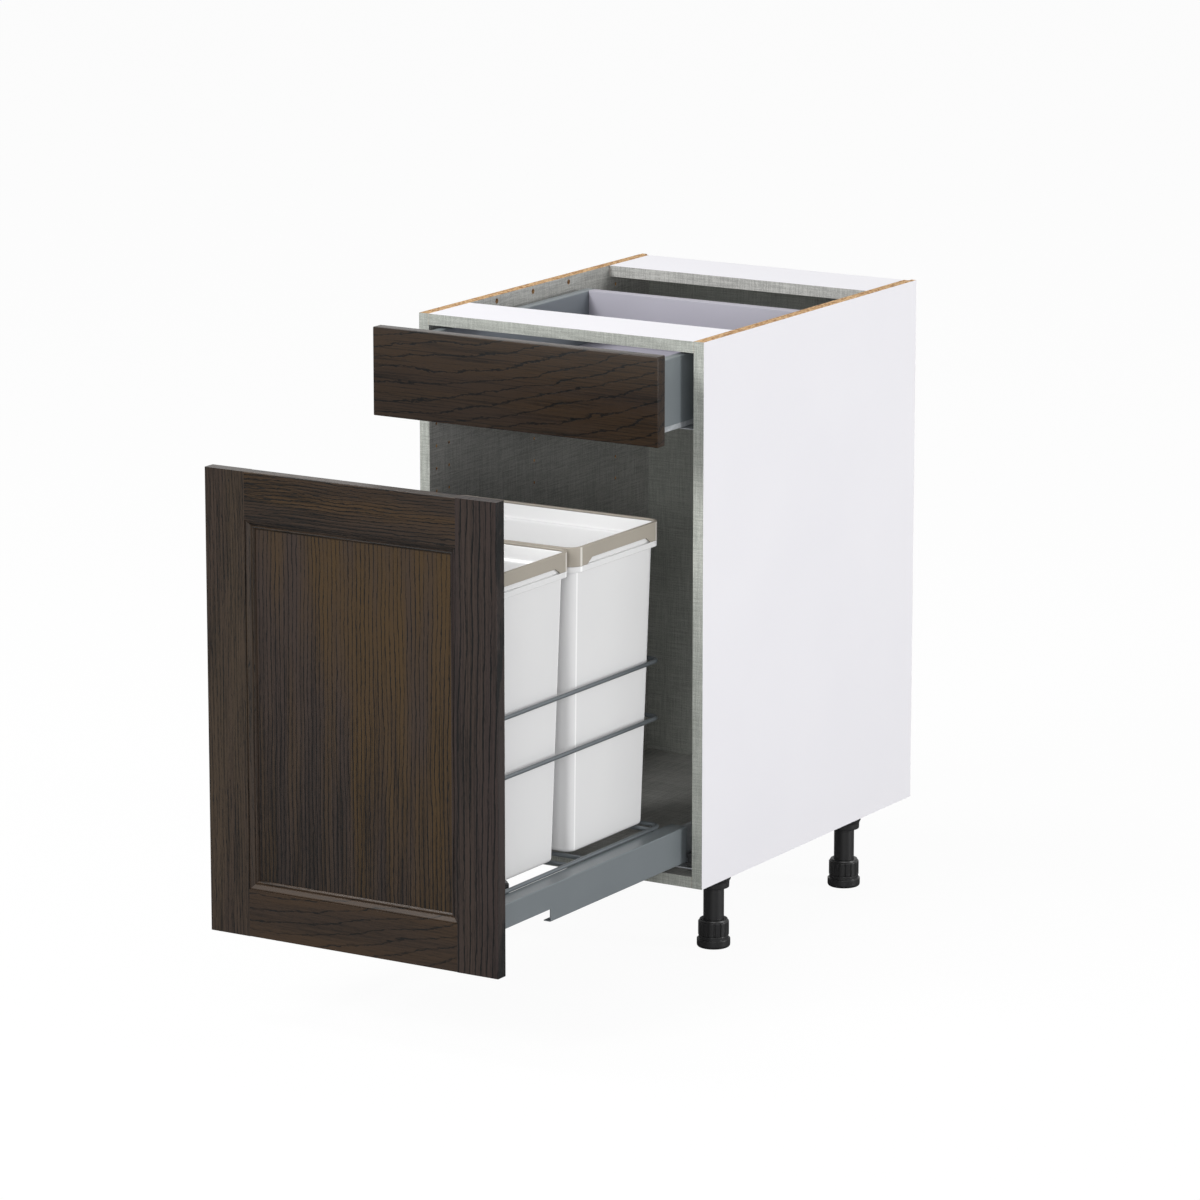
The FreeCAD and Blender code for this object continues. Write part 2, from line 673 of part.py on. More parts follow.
def runners():
    """Two pairs of three-part runners: under the drawer's sides and under the pull-out's profiles."""
    nodes = {}
    middle_in = "(runner_sheet + 2 * runner_play)"
    outer_in = f"({middle_in} + 2 * runner_sheet + 2 * runner_play)"
    step = "(runner_sheet + runner_play)"
    closed = f"{FRONT} + runner_setback"
    for side, sign in SIDES.items():
        centre = f"({DRAWER_OUT} - drawer_side_thick / 2)"
        low = f"({TOP} - drawer_runner_drop)"
        shoe_low = f"({DRAWER_BASE} - drawer_strip)"
        crown = f"({DRAWER_BASE} + drawer_runner_rise)"
        fixed = cabinet_rail(f"drawer_{side}_cabinet_rail", sign, centre, low, f"{crown} - 2 * {step}")
        middle = channel(f"drawer_{side}_middle_rail", sign, centre, middle_in, shoe_low,
                         f"{crown} - {step}", f"{closed} - drawer_open / 2")
        shoe = drawer_shoe(f"drawer_{side}_shoe", sign, centre, outer_in, shoe_low, crown,
                           f"{closed} - drawer_open")
        nodes.update({item.Name: item for item in (fixed, middle, shoe)})
    for side, sign in SIDES.items():
        centre = f"({PROFILE_OUT} - profile_flange / 2)"
        low = f"({BASE} + pull_runner_base)"
        crown = f"({BASE} + profile_top - profile_sheet)"
        grip = f"({crown} - pull_grip)"
        fixed = cabinet_rail(f"pull_{side}_cabinet_rail", sign, centre, low, f"{crown} - 2 * {step}")
        middle = channel(f"pull_{side}_middle_rail", sign, centre, middle_in, grip,
                         f"{crown} - {step}", f"{closed} - pull_open / 2")
        shoe = channel(f"pull_{side}_shoe", sign, centre, outer_in, grip, crown, f"{closed} - pull_open")
        nodes.update({item.Name: item for item in (fixed, middle, shoe)})
    caps = []
    for side, sign in SIDES.items():
        inner_face = f"({INNER} - runner_sheet - runner_play)"
        middle_x = f"{sign} * ({inner_face} - cap_width / 2)"
        corner = f"{middle_x} - cap_width / 2"
        height = "wall_plate_height - runner_sheet - runner_play"
        caps.append(board(f"{side}_cap", corner, f"{FRONT} + runner_setback",
                          f"{BASE} + pull_runner_base + runner_sheet + runner_play",
                          "cap_width", "cap_length", height))
    nodes["runner_caps"] = join("runner_caps", "Part::Compound", caps)
    return nodes


def pull_profiles():
    """The pull-out's two side profiles: a deep web, a broad top flange and a foot lip cut back in front."""
    nodes = {}
    top = f"({BASE} + profile_top)"
    low = f"({BASE} + profile_base)"
    for side, sign in SIDES.items():
        name = f"pull_{side}_profile"
        body = bar(name, [
            (f"{sign} * {PROFILE_OUT}", low),
            (f"{sign} * {PROFILE_OUT}", top),
            (f"{sign} * {PROFILE_IN}", top),
            (f"{sign} * {PROFILE_IN}", f"{top} - profile_sheet"),
            (f"{sign} * ({PROFILE_OUT} - profile_sheet)", f"{top} - profile_sheet"),
            (f"{sign} * ({PROFILE_OUT} - profile_sheet)", f"{low} + profile_sheet"),
            (f"{sign} * ({PROFILE_OUT} - profile_lip)", f"{low} + profile_sheet"),
            (f"{sign} * ({PROFILE_OUT} - profile_lip)", low),
        ], PULL_BACK, "profile_length")
        notch = sketch_on(body, "YZ_Plane", f"{name}_notch", f"{sign} * ({PROFILE_OUT} + overrun)")
        outline(notch, [
            ("-overrun", f"{low} - overrun"),
            ("notch_length", f"{low} - overrun"),
            ("notch_length", f"{low} + notch_height"),
            ("-overrun", f"{low} + notch_height"),
        ])
        pocket(body, notch, "profile_lip + 2 * overrun", reverse=(sign < 0))
        nodes[name] = body
    return nodes


def loop_wire(name, half, front, rear, z, corner, open_front):
    """A level loop of wire with bent corners, or a hoop that is open at the front."""
    run_start = front if open_front else f"{front} + {corner}"
    items = []
    for side, sign in SIDES.items():
        start = (f"{sign} * {half}", run_start, z)
        length = f"{rear} - {corner} - ({run_start})"
        items.append(rod(f"{name}_{side}", start, (0, 1, 0), length, "wire_radius", "wire_sides"))
    across = f"2 * ({half} - {corner})"
    ends = {"rear": rear} if open_front else {"rear": rear, "front": front}
    for end, y in ends.items():
        items.append(rod(f"{name}_{end}", (f"{corner} - {half}", y, z), (1, 0, 0), across,
                         "wire_radius", "wire_sides"))
        back = 1 if end == "rear" else -1
        for side, sign in SIDES.items():
            centre = (f"{sign} * ({half} - {corner})", f"{y} - {back} * {corner}", z)
            quarter = {(1, 1): 0, (-1, 1): 1, (-1, -1): 2, (1, -1): 3}[(sign, back)]
            items.append(bend(f"{name}_{end}_{side}_bend", centre, corner, "wire_radius", quarter))
    return items


def wirework():
    """The wire cradle that carries the bins, and two hoops that keep them upright."""
    seat = "((wire_radius + panel_play) * cradle_seat_share)"
    half = f"({PROFILE_IN} - {seat})"
    level = f"({BASE} + profile_top + {seat})"
    foot_inset = "(ledge_out + bin_taper - wire_radius - cradle_room)"
    rear = f"({FRONT} - rear_bin_setback - {foot_inset})"
    front = f"({FRONT} - rear_bin_setback - 4 * (bin_half_length + ledge_out) - bin_gap + {foot_inset})"
    loop = loop_wire("cradle_loop", half, front, rear, level, "cradle_bend", False)
    split = f"({FRONT} - rear_bin_setback - 2 * (bin_half_length + ledge_out) - bin_gap / 2)"
    rows = [f"({rear} - cross_wire_inset)", f"({split} + cross_wire_inset)",
            f"({split} - cross_wire_inset)", f"({front} + cross_wire_inset)"]
    rest = f"({BASE} + bin_base - wire_radius - panel_play)"
    for i, y in enumerate(rows):
        loop.append(rod(f"cross_wire_{i}", (f"-{half}", y, rest), (1, 0, 0), f"2 * {half}",
                        "wire_radius", "wire_sides"))
    nodes = {"wire_cradle": join("wire_cradle", "Part::MultiFuse", loop)}
    start = f"({PULL_BACK} + boss_length)"
    hoop_rear = f"({FRONT} - hoop_rear_setback)"
    bosses = []
    for word, height in (("lower", "hoop_low"), ("upper", "hoop_high")):
        z = f"({BASE} + {height})"
        wires = loop_wire(f"{word}_hoop_wire", HOOP_HALF, start, hoop_rear, z, "hoop_bend", True)
        nodes[f"{word}_hoop"] = join(f"{word}_hoop", "Part::MultiFuse", wires)
        for side, sign in SIDES.items():
            place_at = (f"{sign} * {HOOP_HALF}", PULL_BACK, z)
            bosses.append(rod(f"{word}_{side}_boss", place_at, (0, 1, 0), "boss_length",
                              "boss_radius", "wire_sides"))
    nodes["hoop_bosses"] = join("hoop_bosses", "Part::Compound", bosses)
    return nodes


def rounded_block(body, name, low, high, half_x, half_y, corner, remove=False):
    """A straight block with round corners between two heights, added or removed."""
    sketch = sketch_on(body, "XY_Plane", name, low)
    rounded_rectangle(sketch, half_x, half_y, corner)
    if remove:
        return pocket(body, sketch, f"{high} - ({low})", reverse=True)
    return pad(body, sketch, f"{high} - ({low})")


def tapered_block(body, name, low, high, inset, floor_corner, remove=False):
    """A block that widens upwards between two rounded outlines, set in from the bin's outer faces."""
    shrink = {"low": "bin_taper", "high": "0"}
    heights = {"low": low, "high": high}
    rings = []
    for level, z in heights.items():
        ring = sketch_on(body, "XY_Plane", f"{name}_{level}", z)
        rounded_rectangle(ring, f"{BIN_HALF} - {shrink[level]} - {inset}",
                          f"bin_half_length - {shrink[level]} - {inset}", floor_corner)
        rings.append(ring)
    kind = "PartDesign::SubtractiveLoft" if remove else "PartDesign::AdditiveLoft"
    loft = body.newObject(kind, f"{name}_loft")
    loft.Profile = rings[0]
    loft.Sections = rings[1:]
    return loft


def waste_bin(name, y):
    """An open bin that widens upwards, with a stepped lip that carries the rim."""
    height = f"({BIN_TOP} - {BASE} - bin_base)"
    lip_low = f"({height} - rim_height)"
    body = new_body(name, y=y, z=f"{BASE} + bin_base")
    tapered_block(body, f"{name}_outer", "0", f"{height} - rim_wall - rim_play", "0", "bin_corner")
    rounded_block(body, f"{name}_lip", lip_low, f"{height} - rim_wall - rim_play",
                  f"{BIN_HALF} + lip_out - rim_play", "bin_half_length + lip_out - rim_play",
                  "bin_corner + lip_out - rim_play")
    rounded_block(body, f"{name}_ledge", f"{lip_low} - ledge_height", f"{lip_low} - rim_play",
                  f"{BIN_HALF} + ledge_out", "bin_half_length + ledge_out", "bin_corner + ledge_out")
    tapered_block(body, f"{name}_inner", "bin_wall", f"{height} + overrun", "bin_wall",
                  "bin_corner - bin_wall", remove=True)
    return body


def bin_rim(name, y):
    """The bag rim: a collar round the lip with a flat top, cut up along the middle of each side."""
    low = f"({BIN_TOP} - rim_height)"
    half_x = f"({BIN_HALF} + lip_out + rim_wall)"
    half_y = "(bin_half_length + lip_out + rim_wall)"
    corner = "(bin_corner + lip_out + rim_wall)"
    body = new_body(name, y=y, z=low)
    rounded_block(body, f"{name}_collar", "0", "rim_height", half_x, half_y, corner)
    rounded_block(body, f"{name}_cavity", "0", "rim_height - rim_wall", f"{half_x} - rim_wall",
                  f"{half_y} - rim_wall", f"{corner} - rim_wall", remove=True)
    rounded_block(body, f"{name}_mouth", "0", "rim_height + overrun", f"{half_x} - rim_inner_reach",
                  f"{half_y} - rim_inner_reach", f"{corner} - rim_inner_reach", remove=True)
    for role, half, through in (("XZ_Plane", half_x, half_y), ("YZ_Plane", half_y, half_x)):
        word = "long" if role == "XZ_Plane" else "short"
        opening = sketch_on(body, role, f"{name}_{word}_cut", f"-({through}) - overrun")
        wide = f"({half} - rim_cut_end)"
        outline(opening, [
            (f"-{wide}", "0"),
            (f"-{wide} + rim_cut_slope", "rim_cut_height"),
            (f"{wide} - rim_cut_slope", "rim_cut_height"),
            (wide, "0"),
        ])
        pocket(body, opening, f"2 * ({through} + overrun)", reverse=True)
    return body


def bins():
    """Two bins, one behind the other, each with its rim."""
    reach = "(bin_half_length + ledge_out)"
    rear = f"({FRONT} - rear_bin_setback - {reach})"
    spots = {"rear": rear, "front": f"({rear} - 2 * {reach} - bin_gap)"}
    nodes = {}
    for end, y in spots.items():
        nodes[f"{end}_bin"] = waste_bin(f"{end}_bin", y)
        nodes[f"{end}_bin_rim"] = bin_rim(f"{end}_bin_rim", y)
    return nodes


def main():
    """Build every piece, check it and write one file for each."""
    nodes = {}
    for build in (carcass, legs, pull_front, drawer_box, runners, pull_profiles, wirework, bins):
        nodes.update(build())
    doc.recompute()
    broken = [item.Name for item in doc.Objects if {"Invalid", "Error"} & set(item.State)]
    if broken:
        raise RuntimeError(f"features that failed: {broken}")
    os.makedirs("parts", exist_ok=True)
    for label, item in nodes.items():
        shape = item.Shape
        if shape.isNull() or not shape.isValid() or not shape.Solids:
            raise RuntimeError(f"no sound solid in {label}")
        item.Label = label
        shape.exportStep(f"parts/{label}.step")


main()
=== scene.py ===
# %% [markdown]
# A pull-out base cabinet stands with its drawer a little open and its bin pull-out fully open.
# The measured model is the frame: boards, runners and joints already stand where they belong. The lesson
# dresses that frame. Flat boards keep their measured shapes and get finishes, and curved or softened
# pieces are worked out again as smooth surfaces in the places of the measured ones.

# %% Load the measured frame
import json
import math

import bmesh
import bpy
import numpy as np
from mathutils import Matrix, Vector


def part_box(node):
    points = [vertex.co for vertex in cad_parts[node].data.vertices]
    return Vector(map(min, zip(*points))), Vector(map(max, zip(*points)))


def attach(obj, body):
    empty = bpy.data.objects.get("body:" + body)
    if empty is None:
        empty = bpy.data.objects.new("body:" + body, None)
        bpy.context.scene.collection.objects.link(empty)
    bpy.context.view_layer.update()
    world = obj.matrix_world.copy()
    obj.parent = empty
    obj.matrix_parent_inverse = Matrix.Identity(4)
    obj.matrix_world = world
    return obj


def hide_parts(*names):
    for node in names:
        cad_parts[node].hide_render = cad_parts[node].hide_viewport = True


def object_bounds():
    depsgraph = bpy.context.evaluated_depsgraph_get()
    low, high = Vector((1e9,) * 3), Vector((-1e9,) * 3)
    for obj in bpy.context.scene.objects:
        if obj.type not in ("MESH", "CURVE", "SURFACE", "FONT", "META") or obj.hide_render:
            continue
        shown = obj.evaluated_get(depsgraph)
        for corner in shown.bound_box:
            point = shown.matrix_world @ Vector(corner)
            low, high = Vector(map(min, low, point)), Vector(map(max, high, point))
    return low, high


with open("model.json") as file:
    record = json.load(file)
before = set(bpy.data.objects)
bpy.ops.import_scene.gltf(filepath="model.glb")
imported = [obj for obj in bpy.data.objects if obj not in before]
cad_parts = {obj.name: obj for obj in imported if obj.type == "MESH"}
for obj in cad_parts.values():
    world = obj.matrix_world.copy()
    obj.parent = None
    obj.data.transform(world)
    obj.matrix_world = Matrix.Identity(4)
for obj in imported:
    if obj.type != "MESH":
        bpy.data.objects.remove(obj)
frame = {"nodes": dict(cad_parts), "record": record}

cad_box = [list(corner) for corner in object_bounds()]
bodies = frame["record"]["behaviour"]["bodies"]
body_of = {node: body for body, nodes in bodies.items() for node in nodes}
SIDES = {"left": -1, "right": 1}
MM = 0.001

# %% [markdown]
# Every new piece is a grid of points. A grid has rows and columns, and each little square of neighbours
# becomes one four-sided face. A grid can close on itself in either direction, as a tube does, and its first
# and last row can be closed with a flat cap. Working on whole arrays keeps the shape's formula in one line.

# %% Turn grids of points into faces
def grid_quads(rows, columns, close_rows, close_columns):
    """Quads join point (i, j) to the next row and the next column, where a closed direction wraps round."""
    i = np.arange(rows if close_rows else rows - 1)[:, None]
    j = np.arange(columns if close_columns else columns - 1)[None, :]
    below, beside = (i + 1) % rows, (j + 1) % columns
    corners = (i * columns + j, i * columns + beside, below * columns + beside, below * columns + j)
    return np.stack(np.broadcast_arrays(*corners), axis=-1).reshape(-1, 4)


def shell(points, close_rows=False, close_columns=True, caps=True):
    """A grid of points as vertices and blocks of faces, with flat caps on its first and last row."""
    rows, columns = points.shape[:2]
    blocks = [grid_quads(rows, columns, close_rows, close_columns)]
    if caps:
        first = np.arange(columns)
        blocks += [first[None, ::-1], first[None] + (rows - 1) * columns]
    return points.reshape(-1, 3), blocks


print("a tube of 3 rows and 4 columns has", len(grid_quads(3, 4, False, True)), "faces")

# %% [markdown]
# A finished piece is one mesh object at the origin. Several shells can share it, such as the wires of a
# cradle. Points that fall on each other are merged, then all faces are turned outwards, and the surface is
# shaded smooth except across edges sharper than a chosen angle.

# %% Make a piece, let it ride on its body and stand for measured nodes
MERGE = 2e-6


def piece(name, shells, finish, nodes=(), body=None, crease=32):
    """One object out of one or more closed shells."""
    starts = np.cumsum([0] + [len(points) for points, _ in shells])
    blocks = [block + start for start, (_, parts) in zip(starts, shells) for block in parts]
    mesh = bpy.data.meshes.new(name)
    mesh.from_pydata(np.concatenate([points for points, _ in shells]).tolist(), [],
                     [face for block in blocks for face in block.tolist()])
    work = bmesh.new()
    work.from_mesh(mesh)
    bmesh.ops.remove_doubles(work, verts=work.verts, dist=MERGE)
    bmesh.ops.recalc_face_normals(work, faces=work.faces)
    work.to_mesh(mesh)
    work.free()
    mesh.polygons.foreach_set("use_smooth", np.ones(len(mesh.polygons), bool))
    mesh.set_sharp_from_angle(angle=math.radians(crease))
    mesh.materials.append(finish)
    item = bpy.data.objects.new(name, mesh)
    bpy.context.collection.objects.link(item)
    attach(item, body or body_of[nodes[0]])
    if nodes:
        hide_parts(*nodes)
    print(f"{name}: {len(mesh.vertices)} points, {len(mesh.polygons)} faces")


def box(node):
    """The lowest and highest corner of a measured node, as arrays."""
    low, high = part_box(node)
    return np.array(low), np.array(high)


print("the drawer's front is", np.round(np.subtract(*box("drawer_front")[::-1]), 4), "m")

# %% [markdown]
# Most edges on furniture are softened. One helper rounds the corners of an outline drawn with few points.
# Another carries such an outline along a straight run, which gives bars, folded sheets and profiles.

# %% Round outlines and bars
EDGE_SHARE, SUPPORT, SHORTEST = 0.42, 1.15, 1e-12


def softened(points, radius, steps=4, closed=True):
    """Each corner becomes a quadratic curve from a point before it to a point after it.

    The two points lie a radius away along the neighbouring edges, or less where an edge is short. One more
    point on each edge, just outside the curve, keeps the flat beside it flat when it's shaded.
    """
    corner = np.asarray(points, float)
    edges = [np.roll(corner, shift, axis=0) - corner for shift in (1, -1)]
    lengths = [np.maximum(np.linalg.norm(edge, axis=1, keepdims=True), SHORTEST) for edge in edges]
    reach = np.broadcast_to(np.asarray(radius, float), len(corner))[:, None]
    before, after = (edge / length * np.minimum(reach, length * EDGE_SHARE)
                     for edge, length in zip(edges, lengths))
    before, after = before[:, None], after[:, None]
    t = np.linspace(0, 1, steps + 1)[None, :, None]
    curve = (1 - t) ** 2 * before + t ** 2 * after
    curve = corner[:, None] + np.concatenate([SUPPORT * before, curve, SUPPORT * after], axis=1)
    if closed:
        return curve.reshape(-1, 2)
    return np.concatenate([corner[:1], curve[1:-1].reshape(-1, 2), corner[-1:]])


def bar(section, start, stop, to_space):
    """A section carried from start to stop: each of its points has its own start and stop along the run."""
    ends = [np.broadcast_to(np.asarray(end, float), len(section)) for end in (start, stop)]
    return shell(np.stack([np.stack(to_space(run, *section.T), axis=-1) for run in ends]))


def along_y(run, x, z):
    """A run to the back of the cabinet, with its section across and up."""
    return x, run, z


print("a softened square has", len(softened([(0, 0), (1, 0), (1, 1), (0, 1)], 0.1)), "points")

# %% [markdown]
# Two more helpers give round shapes: a block whose edges are rounded everywhere, as a slab of wood is, and
# the rounded rectangle that the bins, rims and wire loops share.

# %% Blocks and rings
def soft_block(low, high, edge, steps=3):
    """A box with round edges: its inner corner plus the edge radius times a direction on a sphere."""
    quarter = np.linspace(0, np.pi / 2, steps + 1)
    turn = (np.arange(4)[:, None] * np.pi / 2 + quarter).ravel()
    lift = np.concatenate([quarter - np.pi / 2, quarter])
    lift, turn = np.meshgrid(lift, turn, indexing="ij")
    direction = np.stack([np.cos(lift) * np.cos(turn), np.cos(lift) * np.sin(turn), np.sin(lift)], axis=-1)
    corner = np.empty_like(direction)
    corner[..., 0] = np.repeat([1, -1, -1, 1], steps + 1)
    corner[..., 1] = np.repeat([1, 1, -1, -1], steps + 1)
    corner[..., 2] = np.repeat([-1, 1], steps + 1)[:, None]
    return shell((low + high) / 2 + corner * ((high - low) / 2 - edge) + edge * direction)


def ring(half_x, half_y, corner, steps=8):
    """Round a rectangle with round corners: each corner's centre plus its radius times (cos a, sin a).

    The sizes may be columns of values, one for each row of a grid. The angle a comes back too.
    """
    angle = (np.arange(4)[:, None] * np.pi / 2 + np.linspace(0, np.pi / 2, steps + 1)).ravel()
    x = np.repeat([1, -1, -1, 1], steps + 1) * (half_x - corner) + corner * np.cos(angle)
    y = np.repeat([1, 1, -1, -1], steps + 1) * (half_y - corner) + corner * np.sin(angle)
    return x, y, angle


print("a ring has", len(ring(1.0, 1.0, 0.1)[2]), "points")

# %% [markdown]
# Finishes are small networks of nodes. The first helper adds a node with its inputs already linked or set.
# The others add the steps that come up all the time: sums, mixes of two colours, ramps and clouds.

# %% Helpers that add nodes
def node(tree, kind, inputs=None, **settings):
    """A shader node with settings, and with inputs that are linked when they come from another node."""
    item = tree.nodes.new("ShaderNode" + kind)
    for word, setting in settings.items():
        setattr(item, word, setting)
    for word, source in (inputs or {}).items():
        if isinstance(source, bpy.types.NodeSocket):
            tree.links.new(source, item.inputs[word])
        else:
            item.inputs[word].default_value = source
    return item


def math_node(tree, operation, first, second=0.0, clamp=False):
    """The output of one sum or comparison."""
    item = node(tree, "Math", {0: first, 1: second}, operation=operation, use_clamp=clamp)
    return item.outputs[0]


def product(tree, first, second):
    """The output of one multiplication."""
    return math_node(tree, "MULTIPLY", first, second)


def rest_of(tree, share):
    """1 less a share."""
    return math_node(tree, "SUBTRACT", 1.0, share)


def mix(tree, factor, first, second):
    """The output of one mix of two colours."""
    item = node(tree, "Mix", {0: factor, 6: first, 7: second}, data_type="RGBA")
    return item.outputs[2]


def ramp(tree, source, low, high):
    """A value that rises smoothly from 0 at low to 1 at high."""
    inputs = {"Value": source, "From Min": low, "From Max": high}
    return node(tree, "MapRange", inputs, interpolation_type="SMOOTHSTEP").outputs[0]


def spread(tree, share, low, high):
    """A value that goes straight from low to high as a share goes from 0 to 1."""
    return node(tree, "MapRange", {"Value": share, "To Min": low, "To Max": high}).outputs[0]


def noise(tree, vector, scale, detail=2.0, stretch=(1, 1, 1), roughness=0.5):
    """The value of a cloud pattern, squeezed along some axes."""
    moved = node(tree, "Mapping", {"Vector": vector, "Scale": stretch})
    inputs = {"Vector": moved.outputs[0], "Scale": scale, "Detail": detail, "Roughness": roughness}
    return node(tree, "TexNoise", inputs).outputs[0]


print("sums, mixes, ramps and clouds ready")

# %% [markdown]
# A group is an effect with named inputs and outputs that several finishes share, such as grain or weave. Its
# outputs are only colours and values that change over the surface. A finish starts from its shader and from
# the coordinates of the piece that wears it.

# %% Helpers that start groups and finishes
def group(name, inputs, outputs):
    """An empty group with its input and output sockets."""
    tree = bpy.data.node_groups.new(name, "ShaderNodeTree")
    for word, (kind, start) in inputs.items():
        socket = tree.interface.new_socket(word, in_out="INPUT", socket_type=f"NodeSocket{kind}")
        if kind != "Vector":
            socket.default_value = start
    for word, kind in outputs.items():
        tree.interface.new_socket(word, in_out="OUTPUT", socket_type=f"NodeSocket{kind}")
    return tree, tree.nodes.new("NodeGroupInput").outputs, tree.nodes.new("NodeGroupOutput").inputs


def finish(name, **sockets):
    """A material with its shader, and the coordinates of the piece that wears it."""
    material = bpy.data.materials.new(name)
    material.use_nodes = True
    tree = material.node_tree
    shader = tree.nodes["Principled BSDF"]
    for word, setting in sockets.items():
        shader.inputs[word.replace("_", " ")].default_value = setting
    return material, tree, shader.inputs, node(tree, "TexCoord").outputs["Object"]


def relief(tree, height, strength, distance):
    """A normal that follows a height."""
    inputs = {"Height": height, "Strength": strength, "Distance": distance}
    return node(tree, "Bump", inputs).outputs[0]


def srgb(red, green, blue):
    """A colour read as 0 to 255 on a screen, as the linear colour that a shader takes."""
    level = np.array([red, green, blue]) / 255
    linear = np.where(level <= 0.04045, level / 12.92, ((level + 0.055) / 1.055) ** 2.4)
    return (*linear.tolist(), 1.0)


print("a screen grey of 128 is", round(srgb(128, 128, 128)[0], 3), "in linear light")

# %% [markdown]
# Moulded plastic, lacquer and powder coat are never quite even. This group gives a slow unevenness for the
# colour and gloss, and a fine orange peel for the relief. Plastics and painted metal use it at different
# sizes.

# %% Fine mottle, shared by plastics and painted metal
def mottle_group():
    """A slow cloud and a fine one, each a value between 0 and 1."""
    tree, start, end = group("fine_mottle", {"Vector": ("Vector", None), "Grain": ("Float", 900.0)},
                             {"Slow": "Float", "Fine": "Float"})
    slow = noise(tree, start["Vector"], 14.0, 3.0)
    inputs = {"Vector": start["Vector"], "Scale": start["Grain"], "Detail": 2.0}
    fine = node(tree, "TexNoise", inputs)
    tree.links.new(slow, end["Slow"])
    tree.links.new(fine.outputs[0], end["Fine"])
    return tree


MOTTLE = mottle_group()
print("mottle ready")

# %% [markdown]
# Two places on the moulded bins get painted light. A painted highlight runs down each corner as a pale line
# next to the broad faces, and the insides are painted whiter than the outsides, as painted light. Both can
# be told by the way that the surface looks, so no mask has to be drawn: a corner looks a little to the front
# or back, and an inside looks towards the middle of its bin.

# %% Plastics and coats
PEEL = 0.4 * MM


def looks(tree):
    """The way that the surface looks."""
    return node(tree, "NewGeometry").outputs["Normal"]


def painted_corner_highlight(tree):
    """1 on a narrow strip of each upright corner by the left and right faces, where a highlight is painted.
    """
    parts = node(tree, "SeparateXYZ", {0: looks(tree)}).outputs
    turn, upright = (math_node(tree, "ABSOLUTE", parts[axis]) for axis in "YX")
    strip = product(tree, ramp(tree, turn, 0.08, 0.14), rest_of(tree, ramp(tree, turn, 0.24, 0.32)))
    return product(tree, strip, math_node(tree, "GREATER_THAN", upright, 0.9))


def painted_light_inside(tree, place, middle):
    """1 where a surface looks towards a middle point: there (place - middle) . normal is below zero.
    It marks the inside of a bin for its paler painted light.
    """
    away = node(tree, "VectorMath", {0: place, 1: middle}, operation="SUBTRACT").outputs[0]
    facing = node(tree, "VectorMath", {0: away, 1: looks(tree)}, operation="DOT_PRODUCT")
    return math_node(tree, "LESS_THAN", facing.outputs["Value"], 0.0)


def mottled(name, dark, light, rough, grain, depth, painted_highlight=None, inside=None, **sockets):
    """A finish whose colour and gloss vary a little, with a fine orange peel of some depth.

    A moulded piece may have a painted highlight as a pale line on its corners, and a paler painted light
    where it faces its middle.
    """
    material, tree, shader, place = finish(name, **sockets)
    cloud = node(tree, "Group", {"Vector": place, "Grain": grain}, node_tree=MOTTLE).outputs
    colour = mix(tree, cloud["Slow"], srgb(*dark), srgb(*light))
    # Where a bin faces its middle, a paler colour stands in for painted light on its inside.
    if inside:
        middle, pale = inside
        colour = mix(tree, painted_light_inside(tree, place, middle), colour, srgb(*pale))
    # On the corners a pale line is mixed in: a painted highlight.
    if painted_highlight:
        colour = mix(tree, painted_corner_highlight(tree), colour, srgb(*painted_highlight))
    tree.links.new(colour, shader["Base Color"])
    tree.links.new(spread(tree, cloud["Slow"], rough * 0.9, rough * 1.1), shader["Roughness"])
    if depth:
        tree.links.new(relief(tree, cloud["Fine"], depth, PEEL), shader["Normal"])
    return material


# The rim's last colour is a painted highlight down its corners.
RIM_TAUPE = mottled("rim_taupe", (158, 151, 140), (166, 159, 147), 0.48, 1400.0, 0.12, (214, 210, 203))
LEG_BLACK = mottled("leg_black", (20, 20, 21), (29, 29, 30), 0.42, 1200.0, 0.14)
CAP_BLACK = mottled("cap_black", (30, 31, 32), (40, 41, 42), 0.5, 1200.0, 0.12)
SLATE_COAT = mottled("slate_coat", (123, 130, 134), (129, 136, 140), 0.315, 2200.0, 0.0, Metallic=0.3)
WIRE_COAT = mottled("wire_coat", (104, 110, 114), (116, 122, 126), 0.32, 2200.0, 0.0, Metallic=0.45)
DRAWER_FOIL = mottled("drawer_foil", (164, 162, 172), (170, 168, 178), 0.5, 2600.0, 0.0)
print("plastics and coats ready")

# %% [markdown]
# Galvanised runners are grey zinc with soft-edged crystals, the spangle. A cell pattern tints each crystal
# slightly and changes its gloss, so that the sheet doesn't look like plain grey paint. It's only partly
# metallic, because weathered zinc is dull and would otherwise mirror the dark inside of the cabinet.

# %% Galvanised sheet
def galvanised():
    """Zinc whose crystals differ in tint and gloss."""
    material, tree, shader, place = finish("zinc_sheet", Metallic=0.35)
    cells = node(tree, "TexVoronoi", {"Vector": place, "Scale": 190.0}, feature="SMOOTH_F1")
    crystal = node(tree, "SeparateColor", {0: cells.outputs["Color"]}).outputs[0]
    tree.links.new(mix(tree, crystal, srgb(168, 172, 176), srgb(190, 194, 198)), shader["Base Color"])
    tree.links.new(spread(tree, crystal, 0.3, 0.44), shader["Roughness"])
    return material


ZINC = galvanised()
print("zinc ready")

# %% [markdown]
# The boards carry a grey linen print inside and on their front edges. Real linen shows long threads that
# thicken and thin. Three cloud patterns, each stretched along one axis, make threads that run along every
# face whatever way it looks, and a slow cloud lets whole patches go lighter.

# %% Linen weave, shared by boards and back
THREADS = ((22, 620, 620), (620, 22, 620), (620, 620, 22))


